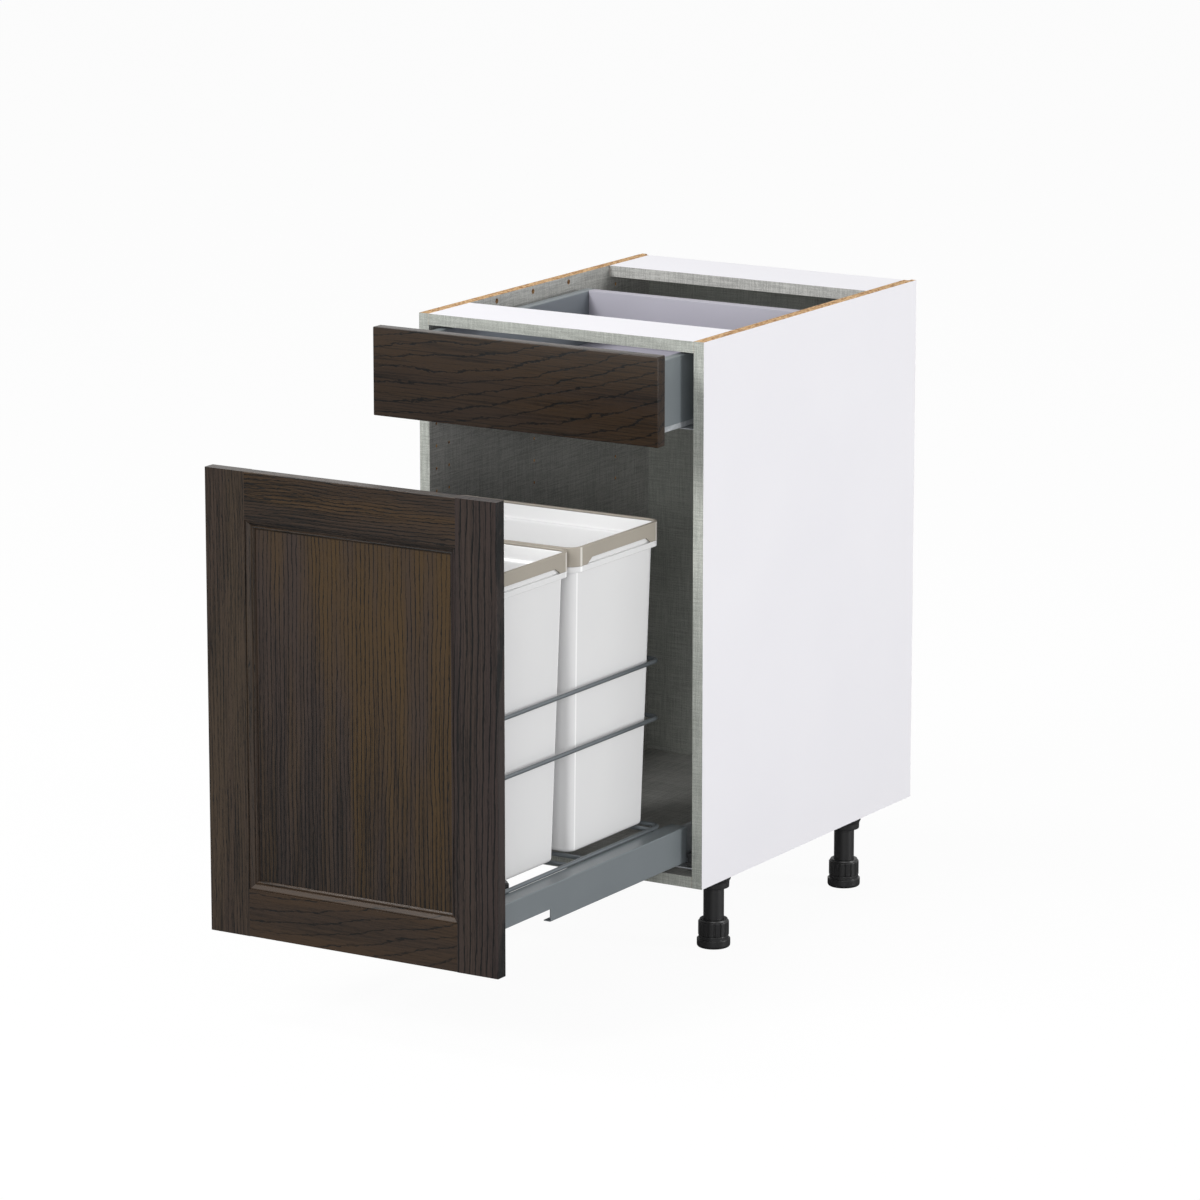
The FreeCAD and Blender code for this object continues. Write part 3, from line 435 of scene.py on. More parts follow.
def linen_group():
    """Threads along the three axes, their sum pushed apart in contrast, as a colour and a height."""
    inputs = {"Vector": ("Vector", None), "Dark": ("Color", (0, 0, 0, 1)), "Light": ("Color", (1, 1, 1, 1))}
    tree, start, end = group("linen_weave", inputs, {"Colour": "Color", "Height": "Float"})
    first, second, third = (noise(tree, start["Vector"], 1.0, 3.0, stretch, 0.6) for stretch in THREADS)
    total = math_node(tree, "ADD", math_node(tree, "ADD", first, second), third)
    patch = noise(tree, start["Vector"], 9.0, 2.0)
    total = math_node(tree, "ADD", total, product(tree, patch, 0.35))
    level = ramp(tree, total, 1.32, 2.02)
    tree.links.new(mix(tree, level, start["Dark"], start["Light"]), end["Colour"])
    tree.links.new(level, end["Height"])
    return tree


LINEN = linen_group()


def linen(tree, place, dark, light):
    """The weave placed in a material with its own two greys."""
    inputs = {"Vector": place, "Dark": srgb(*dark), "Light": srgb(*light)}
    return node(tree, "Group", inputs, node_tree=LINEN).outputs


print("linen ready")

# %% [markdown]
# Where a board is cut and not banded, its chips show: pale wood flakes with darker bits between them. Cells
# of two sizes choose a tint for each flake.

# %% Raw chipboard, shared by board edges
def chip_group():
    """Flakes as cells drawn out along the edge, each with its own brown."""
    tree, start, end = group("raw_chips", {"Vector": ("Vector", None)}, {"Colour": "Color"})
    drawn = node(tree, "Mapping", {"Vector": start["Vector"], "Scale": (1.0, 0.45, 1.0)}).outputs[0]
    shares = []
    for scale, weight in ((420.0, 0.6), (1100.0, 0.4)):
        flakes = node(tree, "TexVoronoi", {"Vector": drawn, "Scale": scale})
        tint = node(tree, "SeparateColor", {0: flakes.outputs["Color"]}).outputs[0]
        shares.append(product(tree, tint, weight))
    level = ramp(tree, math_node(tree, "ADD", *shares), 0.15, 0.75)
    tree.links.new(mix(tree, level, srgb(146, 106, 72), srgb(216, 181, 138)), end["Colour"])
    return tree


CHIPS = chip_group()
print("chips ready")

# %% [markdown]
# A side board wears three finishes: smooth white outside, linen inside and on the front edge, raw chips on
# its other edges. Its measured faces lie at known places, so the finish is chosen by where a point lies,
# a hair inside each face.

# %% Tests of the place on a board
HAIR = 0.2 * MM
carcass_low, carcass_high = box("left_side_panel")
wide_half = abs(carcass_low[0])
BOARD = wide_half - abs(box("bottom_panel")[0][0])
front_edge = carcass_low[1]


def between(tree, value, low, high):
    """1 where a value lies between two limits."""
    above, below = math_node(tree, "GREATER_THAN", value, low), math_node(tree, "LESS_THAN", value, high)
    return product(tree, above, below)


def outer_face(tree, spot):
    """1 on the two outer faces of the cabinet."""
    return math_node(tree, "GREATER_THAN", math_node(tree, "ABSOLUTE", spot["X"]), wide_half - HAIR)


def inside_board(tree, spot):
    """1 within a side's thickness, which shows on cut edges and in holes, but not on the front edge."""
    aside = math_node(tree, "ABSOLUTE", spot["X"])
    deep = between(tree, aside, wide_half - BOARD + HAIR, wide_half - HAIR)
    return product(tree, deep, math_node(tree, "GREATER_THAN", spot["Y"], front_edge + HAIR))


def level_faces(tree, spot):
    """1 on the top of the rails and on the underside of the floor board."""
    return rest_of(tree, between(tree, spot["Z"], carcass_low[2] + HAIR, carcass_high[2] - HAIR))


def board_ends(tree, spot):
    """1 on the ends that butt against the sides."""
    return math_node(tree, "GREATER_THAN", math_node(tree, "ABSOLUTE", spot["X"]), wide_half - BOARD - HAIR)


print("boards are", round(BOARD / MM, 1), "mm thick")

# %% [markdown]
# The finish of a board mixes the three surfaces by two of these tests. White is the smoothest and has no
# relief, and raw chips are the roughest. The linen of the front edge is a shade greener than that inside.

# %% Boards of the carcass
WEAVE_DEPTH = 0.3 * MM
LINEN_EDGE = (152, 155, 149), (196, 199, 192)
LINEN_INSIDE = (152, 152, 149), (196, 196, 192)


def board_finish(name, white_where, raw_where):
    """Linen that gives way to smooth white and to raw chips where two tests of the place say so."""
    material, tree, shader, place = finish(name, Specular_IOR_Level=0.04)
    spot = node(tree, "SeparateXYZ", {0: place}).outputs
    is_edge = math_node(tree, "LESS_THAN", spot["Y"], front_edge + HAIR)
    inside, edge = (linen(tree, place, *greys) for greys in (LINEN_INSIDE, LINEN_EDGE))
    weave = mix(tree, is_edge, inside["Colour"], edge["Colour"])
    white = mix(tree, noise(tree, place, 5.0, 2.0), srgb(236, 235, 240), srgb(241, 240, 244))
    chips = node(tree, "Group", {"Vector": place}, node_tree=CHIPS)
    is_white, is_raw = white_where(tree, spot), raw_where(tree, spot)
    colour = mix(tree, is_raw, mix(tree, is_white, weave, white), chips.outputs["Colour"])
    tree.links.new(colour, shader["Base Color"])
    rough = math_node(tree, "ADD", product(tree, is_raw, 0.35), product(tree, is_white, -0.12))
    tree.links.new(math_node(tree, "ADD", rough, 0.5), shader["Roughness"])
    woven = product(tree, inside["Height"], rest_of(tree, is_white))
    tree.links.new(relief(tree, woven, 0.12, WEAVE_DEPTH), shader["Normal"])
    return material


def paint(finish_of, *nodes):
    """Give measured nodes a finish."""
    for name in nodes:
        for slot in frame["nodes"][name].material_slots:
            slot.material = finish_of
    print(finish_of.name, "on", *nodes)


paint(board_finish("side_board", outer_face, inside_board), "left_side_panel", "right_side_panel")
paint(board_finish("cross_board", level_faces, board_ends), "bottom_panel", "top_front_rail", "top_rear_rail")

# %% [markdown]
# The back board is a thin panel with the same print, a shade darker. The dowels are beech, which never shows
# unless a joint is open.

# %% Back board and dowels
def back_finish():
    """The darker linen of the back board."""
    material, tree, shader, place = finish("back_linen", Roughness=0.55)
    weave = linen(tree, place, (142, 144, 139), (182, 185, 178))
    tree.links.new(weave["Colour"], shader["Base Color"])
    tree.links.new(relief(tree, weave["Height"], 0.15, WEAVE_DEPTH), shader["Normal"])
    return material


def beech_finish():
    """Pale wood with short dark flecks along the dowel."""
    material, tree, shader, place = finish("beech", Roughness=0.6)
    fleck = ramp(tree, noise(tree, place, 1.0, 3.0, (60, 900, 900)), 0.35, 0.65)
    tree.links.new(mix(tree, fleck, srgb(196, 160, 118), srgb(222, 190, 148)), shader["Base Color"])
    return material


paint(back_finish(), "back_panel")
paint(beech_finish(), "carcass_dowels")

# %% [markdown]
# The fronts are dark stained oak. A board is sawn from a trunk whose growth rings are tubes about its heart.
# Where the heart lies far to the side, the rings cut the face as straight lines, and a board that is sawn
# askew shows them slanting or bent. So one formula serves every piece: the distance from a tilted heart
# line, divided by the ring spacing. Open pores lie in the early part of each ring and take more stain.

# %% Oak grain, shared by all wooden fronts
def oak_group():
    """Rings, pores and fibres as a colour, a gloss and a height.

    Ring count = distance from the heart line / spacing, where the line runs along the first axis, aside from
    the board's middle and below its face by a depth that grows along the board with the tilt. The board may
    slant and bend against its grain, and the rings wander. Early wood fills a band of each ring.
    Stain and shade = base + place . tone slope + lines * early wood + pores + fibre, where the tone slope
    may add painted shade. It leads from two light colours, whose balance may turn across the board, to the
    dark one.
    """
    numbers = {"Base": 0.1, "Lines": 0.7, "Fibre": 1.2, "Spacing": 0.01, "Band": 0.34, "Wander": 0.01,
               "Aside": 0.0, "Below": 0.1, "Tilt": 0.0, "Slant": 0.0, "Bend": 0.0, "Turn": 0.0}
    colours = {"Light": (1, 1, 1, 1), "Other": (1, 1, 1, 1), "Dark": (0, 0, 0, 1)}
    inputs = {word: ("Vector", None) for word in ("Vector", "Fade")}
    inputs |= {word: ("Color", start) for word, start in colours.items()}
    inputs |= {word: ("Float", start) for word, start in numbers.items()}
    outputs = {"Colour": "Color", "Roughness": "Float", "Height": "Float"}
    tree, start, end = group("oak_grain", inputs, outputs)
    vector = start["Vector"]

    def add(first, second):
        return math_node(tree, "ADD", first, second)

    def less(first, second):
        return math_node(tree, "SUBTRACT", first, second)

    def times(first, second):
        return product(tree, first, second)

    def swing(stretch, detail=2.0):
        return less(noise(tree, vector, 1.0, detail, stretch, 0.6), 0.5)

    along, across, _ = node(tree, "SeparateXYZ", {0: vector}).outputs
    drift = add(swing((5, 16, 16)), times(swing((70, 170, 170), 3.0), 0.22))
    level = less(across, times(along, add(start["Slant"], times(along, start["Bend"]))))
    aside = less(add(level, times(drift, start["Wander"])), start["Aside"])
    below = add(start["Below"], times(along, start["Tilt"]))
    distance = math_node(tree, "SQRT", add(times(aside, aside), times(below, below)))
    part = math_node(tree, "FRACT", math_node(tree, "DIVIDE", distance, start["Spacing"]))
    rise = ramp(tree, part, 0.0, times(start["Band"], 0.2))
    fall = ramp(tree, part, times(start["Band"], 0.25), start["Band"])
    broken = ramp(tree, noise(tree, vector, 1.0, 2.0, (38, 600, 600)), 0.3, 0.62)
    early = times(times(rise, rest_of(tree, fall)), add(times(broken, 0.55), 0.45))
    pore = ramp(tree, noise(tree, vector, 1.0, 1.0, (100, 800, 800), 0.4), 0.5, 0.64)
    pore = times(pore, add(times(early, 0.6), 0.4))
    fade = node(tree, "VectorMath", {0: vector, 1: start["Fade"]}, operation="DOT_PRODUCT")
    marks = add(times(early, start["Lines"]), times(pore, 0.7))
    fibre = add(times(swing((7, 420, 420), 4.0), start["Fibre"]), times(swing((3, 40, 40)), 0.9))
    ground = add(start["Base"], fade.outputs["Value"])
    stain_and_shade = math_node(tree, "ADD", add(marks, ground), fibre, clamp=True)
    balance = add(noise(tree, vector, 1.0, 2.0, (2.5, 30, 30)), times(across, start["Turn"]))
    pale = mix(tree, ramp(tree, balance, 0.32, 0.68), start["Light"], start["Other"])
    tree.links.new(mix(tree, stain_and_shade, pale, start["Dark"]), end["Colour"])
    tree.links.new(spread(tree, pore, 0.34, 0.55), end["Roughness"])
    tree.links.new(rest_of(tree, add(times(pore, 0.8), times(early, 0.25))), end["Height"])
    return tree


OAK = oak_group()
print("oak grain has", len(OAK.nodes), "nodes")

# %% [markdown]
# Each board wears this grain in its own way. It has its own axis of growth, place in the trunk and browns,
# and it may darken from one end to the other along a tone slope, which on the panel is partly painted shade.
# Pores are open, so they dent the surface too.

# %% Finish of one oak board
PORE_DEPTH = 0.4 * MM


def oak(name, axes, shift, tones, fade=(0, 0, 0), **growth):
    """One board's finish: its grain axes, its place in the trunk, its three browns, its tone slope and
    growth.
    """
    material, tree, shader, place = finish(f"oak_{name}", Specular_IOR_Level=0.3)
    parts = node(tree, "SeparateXYZ", {0: place}).outputs
    order = node(tree, "CombineXYZ", {i: parts[axis] for i, axis in enumerate(axes)})
    moved = node(tree, "VectorMath", {0: order.outputs[0], 1: shift}, operation="ADD").outputs[0]
    light, other, dark = (srgb(*tone) for tone in tones)
    inputs = {"Vector": moved, "Light": light, "Other": other, "Dark": dark, "Fade": fade, **growth}
    grain = node(tree, "Group", inputs, node_tree=OAK).outputs
    tree.links.new(grain["Colour"], shader["Base Color"])
    tree.links.new(grain["Roughness"], shader["Roughness"])
    tree.links.new(relief(tree, grain["Height"], 0.16, PORE_DEPTH), shader["Normal"])
    return material


print("oak ready")

# %% [markdown]
# The pull-out's front is a frame of two stiles and two rails round a recessed panel. Inside the frame runs a
# moulding: a small step, a slope, a fine groove and a bead next to the panel. Each member is a flat bar plus
# a strip of moulding. The strips meet in mitres, so each point of the moulding stops as far short of the
# corner as it lies inside the frame.

# %% Sections of the framed front
front_low = np.minimum(box("pull_front_left_stile")[0], box("pull_front_right_stile")[0])
front_high = np.maximum(box("pull_front_left_stile")[1], box("pull_front_right_stile")[1])
front_thick = front_high[1] - front_low[1]
SOFT_EDGE, CRISP_EDGE, MOULDED_EDGE = 1.3 * MM, 0.15 * MM, 0.8 * MM
MOULDING = 12.0 * MM
MOULDING_STEPS = [(0, 1.4), (1.6, 1.5), (6.6, 4.6), (7.4, 5.9), (8.2, 5.0), (9.0, 4.4), (10.2, 4.6),
                  (12, 7.2), (12, 7.7), (3, 7.7), (3, 14.3), (12, 14.3), (12, 19), (0, 19)]
stile_face = box("pull_front_left_stile")[1][0] - front_low[0] - MOULDING
rail_face = front_high[2] - box("pull_front_top_rail")[0][2] - MOULDING


def flat_section(face):
    """The flat bar: from its outer edge at 0 to the moulding at face, and back from the front at 0."""
    corners = [(0, 0), (face, 0), (face, front_thick), (0, front_thick)]
    return softened(corners, [SOFT_EDGE, CRISP_EDGE, CRISP_EDGE, SOFT_EDGE])


def moulding_section(face):
    """The moulding: step, slope, groove, bead, panel groove and back, as (inwards, depth) in millimetres."""
    return softened(np.array(MOULDING_STEPS) * MM + (face, 0), MOULDED_EDGE, 3)


def frame_member(name, face, ends, inner_ends, to_space, grain):
    """One stile or rail: a flat bar between two ends, and its moulding mitred between two inner corners."""
    flat, moulding = flat_section(face), moulding_section(face)
    inset = moulding[:, 0] - face
    shells = [bar(flat, *ends, to_space),
              bar(moulding, inner_ends[0] + inset, inner_ends[1] - inset, to_space)]
    piece(name, shells, grain, (name,))


print("stiles show", round(stile_face, 4), "m and rails", round(rail_face, 4), "m of flat face")

# %% [markdown]
# No two boards of a front come from the same place in the trunk. The left stile is nearly even, the right
# one has strong straight lines, the top rail is fine and streaky and darker to the left, and the lines of
# the bottom rail slant and bend. The panel turns from a cool brown on the left to a lighter, warm one on the
# right, and darkens downwards and to the left. This is partly the wood's tone and partly painted light: a
# painted shade low in its recess and a painted sheen on its upper right.

# %% Framed front
inner_x = front_low[0] + stile_face, front_high[0] - stile_face
inner_z = front_low[2] + rail_face, front_high[2] - rail_face
STILE_LOOKS = {
    "left": dict(tones=((61, 50, 39), (56, 45, 38), (5, 4, 3)), Spacing=0.0046, Lines=0.55, Fibre=3.0,
                 Base=0.16, Wander=0.02),
    "right": dict(tones=((55, 45, 40), (50, 41, 39), (2, 2, 2)), Spacing=0.0085, Lines=1.4, Fibre=2.5,
                  Base=0.1, Wander=0.014)}
RAIL_LOOKS = {
    "top": dict(tones=((63, 47, 29), (51, 40, 32), (2, 2, 2)), fade=(-1.2, 0, 0), Base=0.66, Spacing=0.0046,
                Lines=1.6, Fibre=3.0, Aside=1.05, Below=0.06, Tilt=0.08, Wander=0.02),
    "bottom": dict(tones=((57, 43, 30), (50, 39, 31), (5, 4, 3)), Base=0.06, Spacing=0.016, Lines=0.8,
                   Fibre=1.7, Aside=-0.6, Below=0.05, Slant=-0.2, Bend=0.45, Wander=0.03, Band=0.2)}


def stile_space(outer, sign):
    """A run upwards, across from an outer edge towards the panel, and back from the face."""
    return lambda run, across, depth: (outer - sign * across, front_low[1] + depth, run)


def rail_space(outer, sign):
    """A run to the right, up or down from an outer edge towards the panel, and back from the face."""
    return lambda run, across, depth: (run, front_low[1] + depth, outer - sign * across)


for side, sign in SIDES.items():
    grain = oak(f"{side}_stile", "ZXY", (0.31 + 0.2 * sign, 0.0, 0.0), Aside=sign * 0.55, Below=0.12,
                Tilt=0.03, **STILE_LOOKS[side])
    frame_member(f"pull_front_{side}_stile", stile_face, (front_low[2], front_high[2]), inner_z,
                 stile_space(sign * front_high[0], sign), grain)
for end, (sign, outer) in {"top": (1, front_high[2]), "bottom": (-1, front_low[2])}.items():
    grain = oak(f"{end}_rail", "XZY", (0.4, 0.0, 0.0), **RAIL_LOOKS[end])
    frame_member(f"pull_front_{end}_rail", rail_face, inner_x, inner_x, rail_space(outer, sign), grain)
# Its tone slope darkens it downwards and to the left, partly as painted shade, and its turn lightens the
# right, partly as a painted sheen.
panel_oak = oak("panel", "ZXY", (0.9, 0.0, 0.0), ((66, 50, 29), (54, 44, 39), (3, 2, 2)),
                fade=(-1.5, -0.8, 0), Base=2.04, Turn=-1.0, Spacing=0.0062, Lines=1.5, Fibre=1.9,
                Aside=0.62, Below=0.15, Tilt=0.02, Wander=0.014)
paint(panel_oak, "pull_front_panel")

# %% [markdown]
# The drawer's front is one slab of oak with softened edges. It's sawn askew, so its broad rings rise and bend
# across the face.

# %% Drawer front
drawer_oak = oak("drawer_front", "XZY", (0.0, -0.80, 0.52), ((50, 37, 24), (44, 33, 25), (2, 2, 2)),
                 Spacing=0.0175, Lines=1.6, Fibre=3.6, Base=0.02, Aside=-0.6, Below=0.05, Slant=0.2,
                 Bend=0.25, Wander=0.044, Band=0.17)
drawer_slab = soft_block(*box("drawer_front"), SOFT_EDGE)
piece("drawer_front", [drawer_slab], drawer_oak, ("drawer_front",))

# %% [markdown]
# The drawer box has folded steel sides, coated slate grey, with a chipboard base and back under pale foil. A
# folded sheet has rounded bends, so the side's section is an upside-down U with soft corners.

# %% Drawer box
SHEET, FOIL_EDGE = 1.2 * MM, 0.8 * MM
SIDE_BENDS = np.array([0.3, 2.4, 2.4, 0.3, 0.3, 1.4, 1.4, 0.3]) * MM
for side in SIDES:
    name = f"drawer_{side}_side"
    low, high = box(name)
    wall_low, wall_high, roof = low[0] + SHEET, high[0] - SHEET, high[2] - SHEET
    outline = [(low[0], low[2]), (low[0], high[2]), (high[0], high[2]), (high[0], low[2]),
               (wall_high, low[2]), (wall_high, roof), (wall_low, roof), (wall_low, low[2])]
    folded = bar(softened(outline, SIDE_BENDS), low[1], high[1], along_y)
    piece(name, [folded], SLATE_COAT, (name,))
for name in ("drawer_base", "drawer_back"):
    piece(name, [soft_block(*box(name), FOIL_EDGE)], DRAWER_FOIL, (name,))

# %% [markdown]
# The pull-out runs on two deep profiles of folded sheet: a web, a broad flange on top and a small lip at the
# foot. In front the web's lower part and the lip are cut away, so a profile is two bars of different
# sections that meet at the cut. The runner members of the drawer and the pull-out keep their measured
# shapes, in zinc.

# %% Pull-out profiles
PROFILE_SHEET, LIP, CUT_LENGTH, CUT_HEIGHT = 1.5 * MM, 11.0 * MM, 154.0 * MM, 17.5 * MM
FLANGE_BENDS = [1.3 * MM, 0.5 * MM, 0.5 * MM, 0.6 * MM]
CUT_BENDS, FOOT_BENDS = [0.3 * MM] * 2, [0.6 * MM, 0.4 * MM, 0.4 * MM, 1.3 * MM]
for side, sign in SIDES.items():
    name = f"pull_{side}_profile"
    low, high = box(name)
    outer, inner = (high[0], low[0]) if sign > 0 else (low[0], high[0])
    web, lip = outer - sign * PROFILE_SHEET, outer - sign * LIP
    under, floor, cut = high[2] - PROFILE_SHEET, low[2] + PROFILE_SHEET, low[2] + CUT_HEIGHT
    flange = [(outer, high[2]), (inner, high[2]), (inner, under), (web, under)]
    short = softened(flange + [(web, cut), (outer, cut)], FLANGE_BENDS + CUT_BENDS)
    foot = [(web, floor), (lip, floor), (lip, low[2]), (outer, low[2])]
    full = softened(flange + foot, FLANGE_BENDS + FOOT_BENDS)
    cut_end = low[1] + CUT_LENGTH
    shells = [bar(short, low[1], cut_end, along_y), bar(full, cut_end, high[1], along_y)]
    piece(name, shells, SLATE_COAT, (name,))
runners = [f"{unit}_{side}_{part}" for unit in ("drawer", "pull") for side in SIDES
           for part in ("cabinet_rail", "middle_rail", "shoe")]
paint(ZINC, *runners)

# %% [markdown]
# Each cabinet rail is held to the side board by pan-head screws. A turned outline gives the head: a flat
# underside, a short rim and a dome with a cross-shaped recess, which is a dip of the dome where the distance
# to either of two crossed lines is small.

# %% Runner screws
HEAD, HEAD_RISE = 3.4 * MM, 1.9 * MM
RECESS_HALF, RECESS_REACH, RECESS_DEPTH = 0.55 * MM, 2.0 * MM, 0.9 * MM
RECESS_WALL, RECESS_END = 0.2 * MM, 0.3 * MM


def screw_head(x, y, z, sign):
    """Rows go from the rim to the middle: height = rise * (1 - 0.75 (r / R) ** 4), less the recess."""
    share = np.concatenate([[1.0], np.linspace(1.0, 0.02, 14)])[:, None]
    angle = np.linspace(0, 2 * np.pi, 48, endpoint=False)[None, :]
    across, up = HEAD * share * np.cos(angle), HEAD * share * np.sin(angle)
    near = np.minimum(np.abs(across), np.abs(up))
    recess = np.clip((RECESS_HALF - near) / RECESS_WALL, 0, 1)
    recess = recess * np.clip((RECESS_REACH - HEAD * share) / RECESS_END, 0, 1)
    rise = HEAD_RISE * (1 - 0.75 * share ** 4) - RECESS_DEPTH * recess
    rise[0] = 0
    return shell(np.stack(np.broadcast_arrays(x - sign * rise, y + across, z + up), axis=-1))


PLATE_THICK, PLATE_HEIGHT = 1.5 * MM, 22.0 * MM
SCREW_PLACES = np.array([37.0, 229.0, 453.0]) * MM
for unit in ("drawer", "pull"):
    heads = []
    for side, sign in SIDES.items():
        low, high = box(f"{unit}_{side}_cabinet_rail")
        face = (high[0] if sign > 0 else low[0]) - sign * PLATE_THICK
        heads += [screw_head(face, low[1] + spot, low[2] + PLATE_HEIGHT / 2, sign) for spot in SCREW_PLACES]
    piece(f"{unit}_runner_screws", heads, ZINC, body="carcass")

# %% [markdown]
# In front of each lower runner sits a small black end piece that stops the pull-out. It's moulded, with soft
# edges and a shallow waist where the stop clips in.

# %% Runner end pieces
CAP_WIDTH, CAP_WAIST, CAP_EDGE = 9.0 * MM, 1.2 * MM, 0.9 * MM
CAP_BLOCKS = ((0.0, 0.36, 0.0), (0.3, 0.72, CAP_WAIST), (0.66, 1.0, 0.0))


def end_pieces():
    """For each side a lower block, a narrower waist and an upper block, given as shares of the height."""
    low, high = box("runner_caps")
    shells = []
    for sign in SIDES.values():
        x0, x1 = sorted((sign * high[0], sign * (high[0] - CAP_WIDTH)))
        for bottom, top, inset in CAP_BLOCKS:
            z0, z1 = (low[2] + share * (high[2] - low[2]) for share in (bottom, top))
            corners = [(x0 + inset, low[1] + inset, z0), (x1 - inset, high[1] - inset, z1)]
            shells.append(soft_block(*np.array(corners), CAP_EDGE))
    return shells


piece("runner_caps", end_pieces(), CAP_BLACK, ("runner_caps",))

# %% [markdown]
# The bins stand in a cradle of bent wire and two hoops keep them upright. A wire is a circle carried along a
# level path. On a rounded rectangle the direction across the path is known at every point, so the tube is
# the path plus the wire's radius times a mix of that direction and straight up.

# %% Wire cradle and hoops
WIRE, CRADLE_BEND, HOOP_BEND, CROSS_INSET = 3.0 * MM, 14.0 * MM, 15.0 * MM, 20.0 * MM
ROUND = np.linspace(0, 2 * np.pi, 20, endpoint=False)
BEND_STEPS = 10


def tube(x, y, z, angle, closed):
    """Path + radius * (cos t * across + sin t * up), with t once round the wire."""
    across = np.stack([np.cos(angle), np.sin(angle), np.zeros_like(angle)], axis=-1)[:, None]
    path = np.stack(np.broadcast_arrays(x, y, z), axis=-1)[:, None]
    t = ROUND[None, :, None]
    points = path + WIRE * (np.cos(t) * across + np.sin(t) * np.array([0, 0, 1.0]))
    return shell(points, close_rows=closed, caps=not closed)


def cradle():
    """A closed loop and four cross wires that the bins stand on, each end let into the loop."""
    low, high = box("wire_cradle")
    half_x, half_y = (high[0] - low[0]) / 2 - WIRE, (high[1] - low[1]) / 2 - WIRE
    x, y, angle = ring(half_x, half_y, CRADLE_BEND, BEND_STEPS)
    shells = [tube(x, y + (low[1] + high[1]) / 2, high[2] - WIRE, angle, True)]
    split = (box("front_bin")[1][1] + box("rear_bin")[0][1]) / 2
    across = np.array([half_x, -half_x])
    for spot in (high[1] - WIRE - CROSS_INSET, split + CROSS_INSET, split - CROSS_INSET,
                 low[1] + WIRE + CROSS_INSET):
        shells.append(tube(across, spot, low[2] + WIRE, np.full(2, np.pi / 2), False))
    return shells


def hoop(name):
    """A wire from one boss round behind the bins to the other boss: the rear half of a ring, drawn out."""
    low, high = box(name)
    half = (high[0] - low[0]) / 2 - WIRE
    x, y, angle = ring(half, half, HOOP_BEND, BEND_STEPS)
    x, y, angle = (part[: len(x) // 2] for part in (x, y + high[1] - WIRE - half, angle))
    x, y = np.concatenate([[half], x, [-half]]), np.concatenate([[low[1]], y, [low[1]]])
    angle = np.concatenate([[0.0], angle, [np.pi]])
    return [tube(x, y, (low[2] + high[2]) / 2, angle, False)]


piece("wire_cradle", cradle(), WIRE_COAT, ("wire_cradle",), crease=60)
for name in ("lower_hoop", "upper_hoop"):
    piece(name, hoop(name), WIRE_COAT, (name,), crease=60)

# %% [markdown]
# Turned pieces share one helper: half an outline of radius and height, swept once round an axis. The radius
# may dip with the angle, which leaves the grip ribs of the leg adjusters. The hoops' bosses are turned too,
# about an axis that runs to the back.

# %% Bosses of the hoops
def turned(outline, centre, steps=64, ribs=0, rib_depth=0.0, rib_rows=None, closed=False):
    """Point = centre + (r cos a, r sin a, z), where a closed outline gives a ring without caps.

    Where the outline is ribbed, r is less by rib_depth in narrow grooves: a cosine of the angle, clipped.
    """
    outline = np.asarray(outline, float)
    angle = np.linspace(0, 2 * np.pi, steps, endpoint=False)[None, :]
    radius = outline[:, :1] + np.zeros_like(angle)
    if ribs:
        wave = np.clip(3.2 + 4.0 * np.cos(ribs * angle), 0, 1)
        radius = radius - rib_depth * rib_rows[:, None] * (1 - wave)
    height = outline[:, 1:] + np.zeros_like(angle)
    x, y = centre[0] + radius * np.cos(angle), centre[1] + radius * np.sin(angle)
    return shell(np.stack([x, y, centre[2] + height], axis=-1), close_rows=closed, caps=not closed)


BOSS, BOSS_EDGE = 9.0 * MM, 0.8 * MM
BOSS_SHARES = [(0.8, 0), (1, 0), (1, 0.5), (0.72, 0.95), (0.3, 1)]


def bosses():
    """A stepped disc behind the front at each end of the two hoops, its outline in shares of its size."""
    low, high = box("hoop_bosses")
    outline = softened(np.array(BOSS_SHARES) * (BOSS, high[1] - low[1]), BOSS_EDGE, 3, closed=False)
    points, faces = turned(outline, (0, 0, 0), 40)
    (x0, _, z0), (x1, _, z1) = low + BOSS, high - BOSS
    return [(points[:, [0, 2, 1]] + (x, low[1], z), faces) for x in (x0, x1) for z in (z0, z1)]


piece("hoop_bosses", bosses(), WIRE_COAT, ("hoop_bosses",))

# %% [markdown]
# A leg has a socket screwed under the floor board, a tube pushed into it, a ribbed adjuster and a foot. All
# four are turned outlines, drawn in millimetres. The foot's stem carries ridges inside the tube, where the
# real one has its thread: its radius rises and falls with the height.

# %% Outlines of a leg
CORE, SEAT, TUBE_WALL, TUBE_DEPTH = 0.1, 14.8, 2.5, 40.0
STEM, STEM_START, PITCH, RIDGE = 11.7, 17.2, 4.0, 1.2
SOCKET_ROOF, RIB_COUNT, RIB_DEPTH = 5.0, 16, 1.1


def socket(tall, wide):
    """A cup with a flange: seat, mouth, neck, shoulder and flange, up to the board."""
    neck, roof = wide - 2.0, tall - SOCKET_ROOF
    corners = [(CORE, roof), (SEAT, roof), (SEAT, 0), (neck - 0.4, 0), (neck, 9), (wide, 12.6), (wide, tall),
               (CORE, tall)]
    return softened(corners, 1.2, 4, closed=False), {}


def leg_tube(tall, wide):
    """A tube that is open below, as deep as the stem reaches, and closed above."""
    bore = wide - TUBE_WALL
    corners = [(CORE, TUBE_DEPTH), (bore, TUBE_DEPTH), (bore, 0), (wide, 0), (wide, tall), (CORE, tall)]
    return softened(corners, 0.6, 3, closed=False), {}


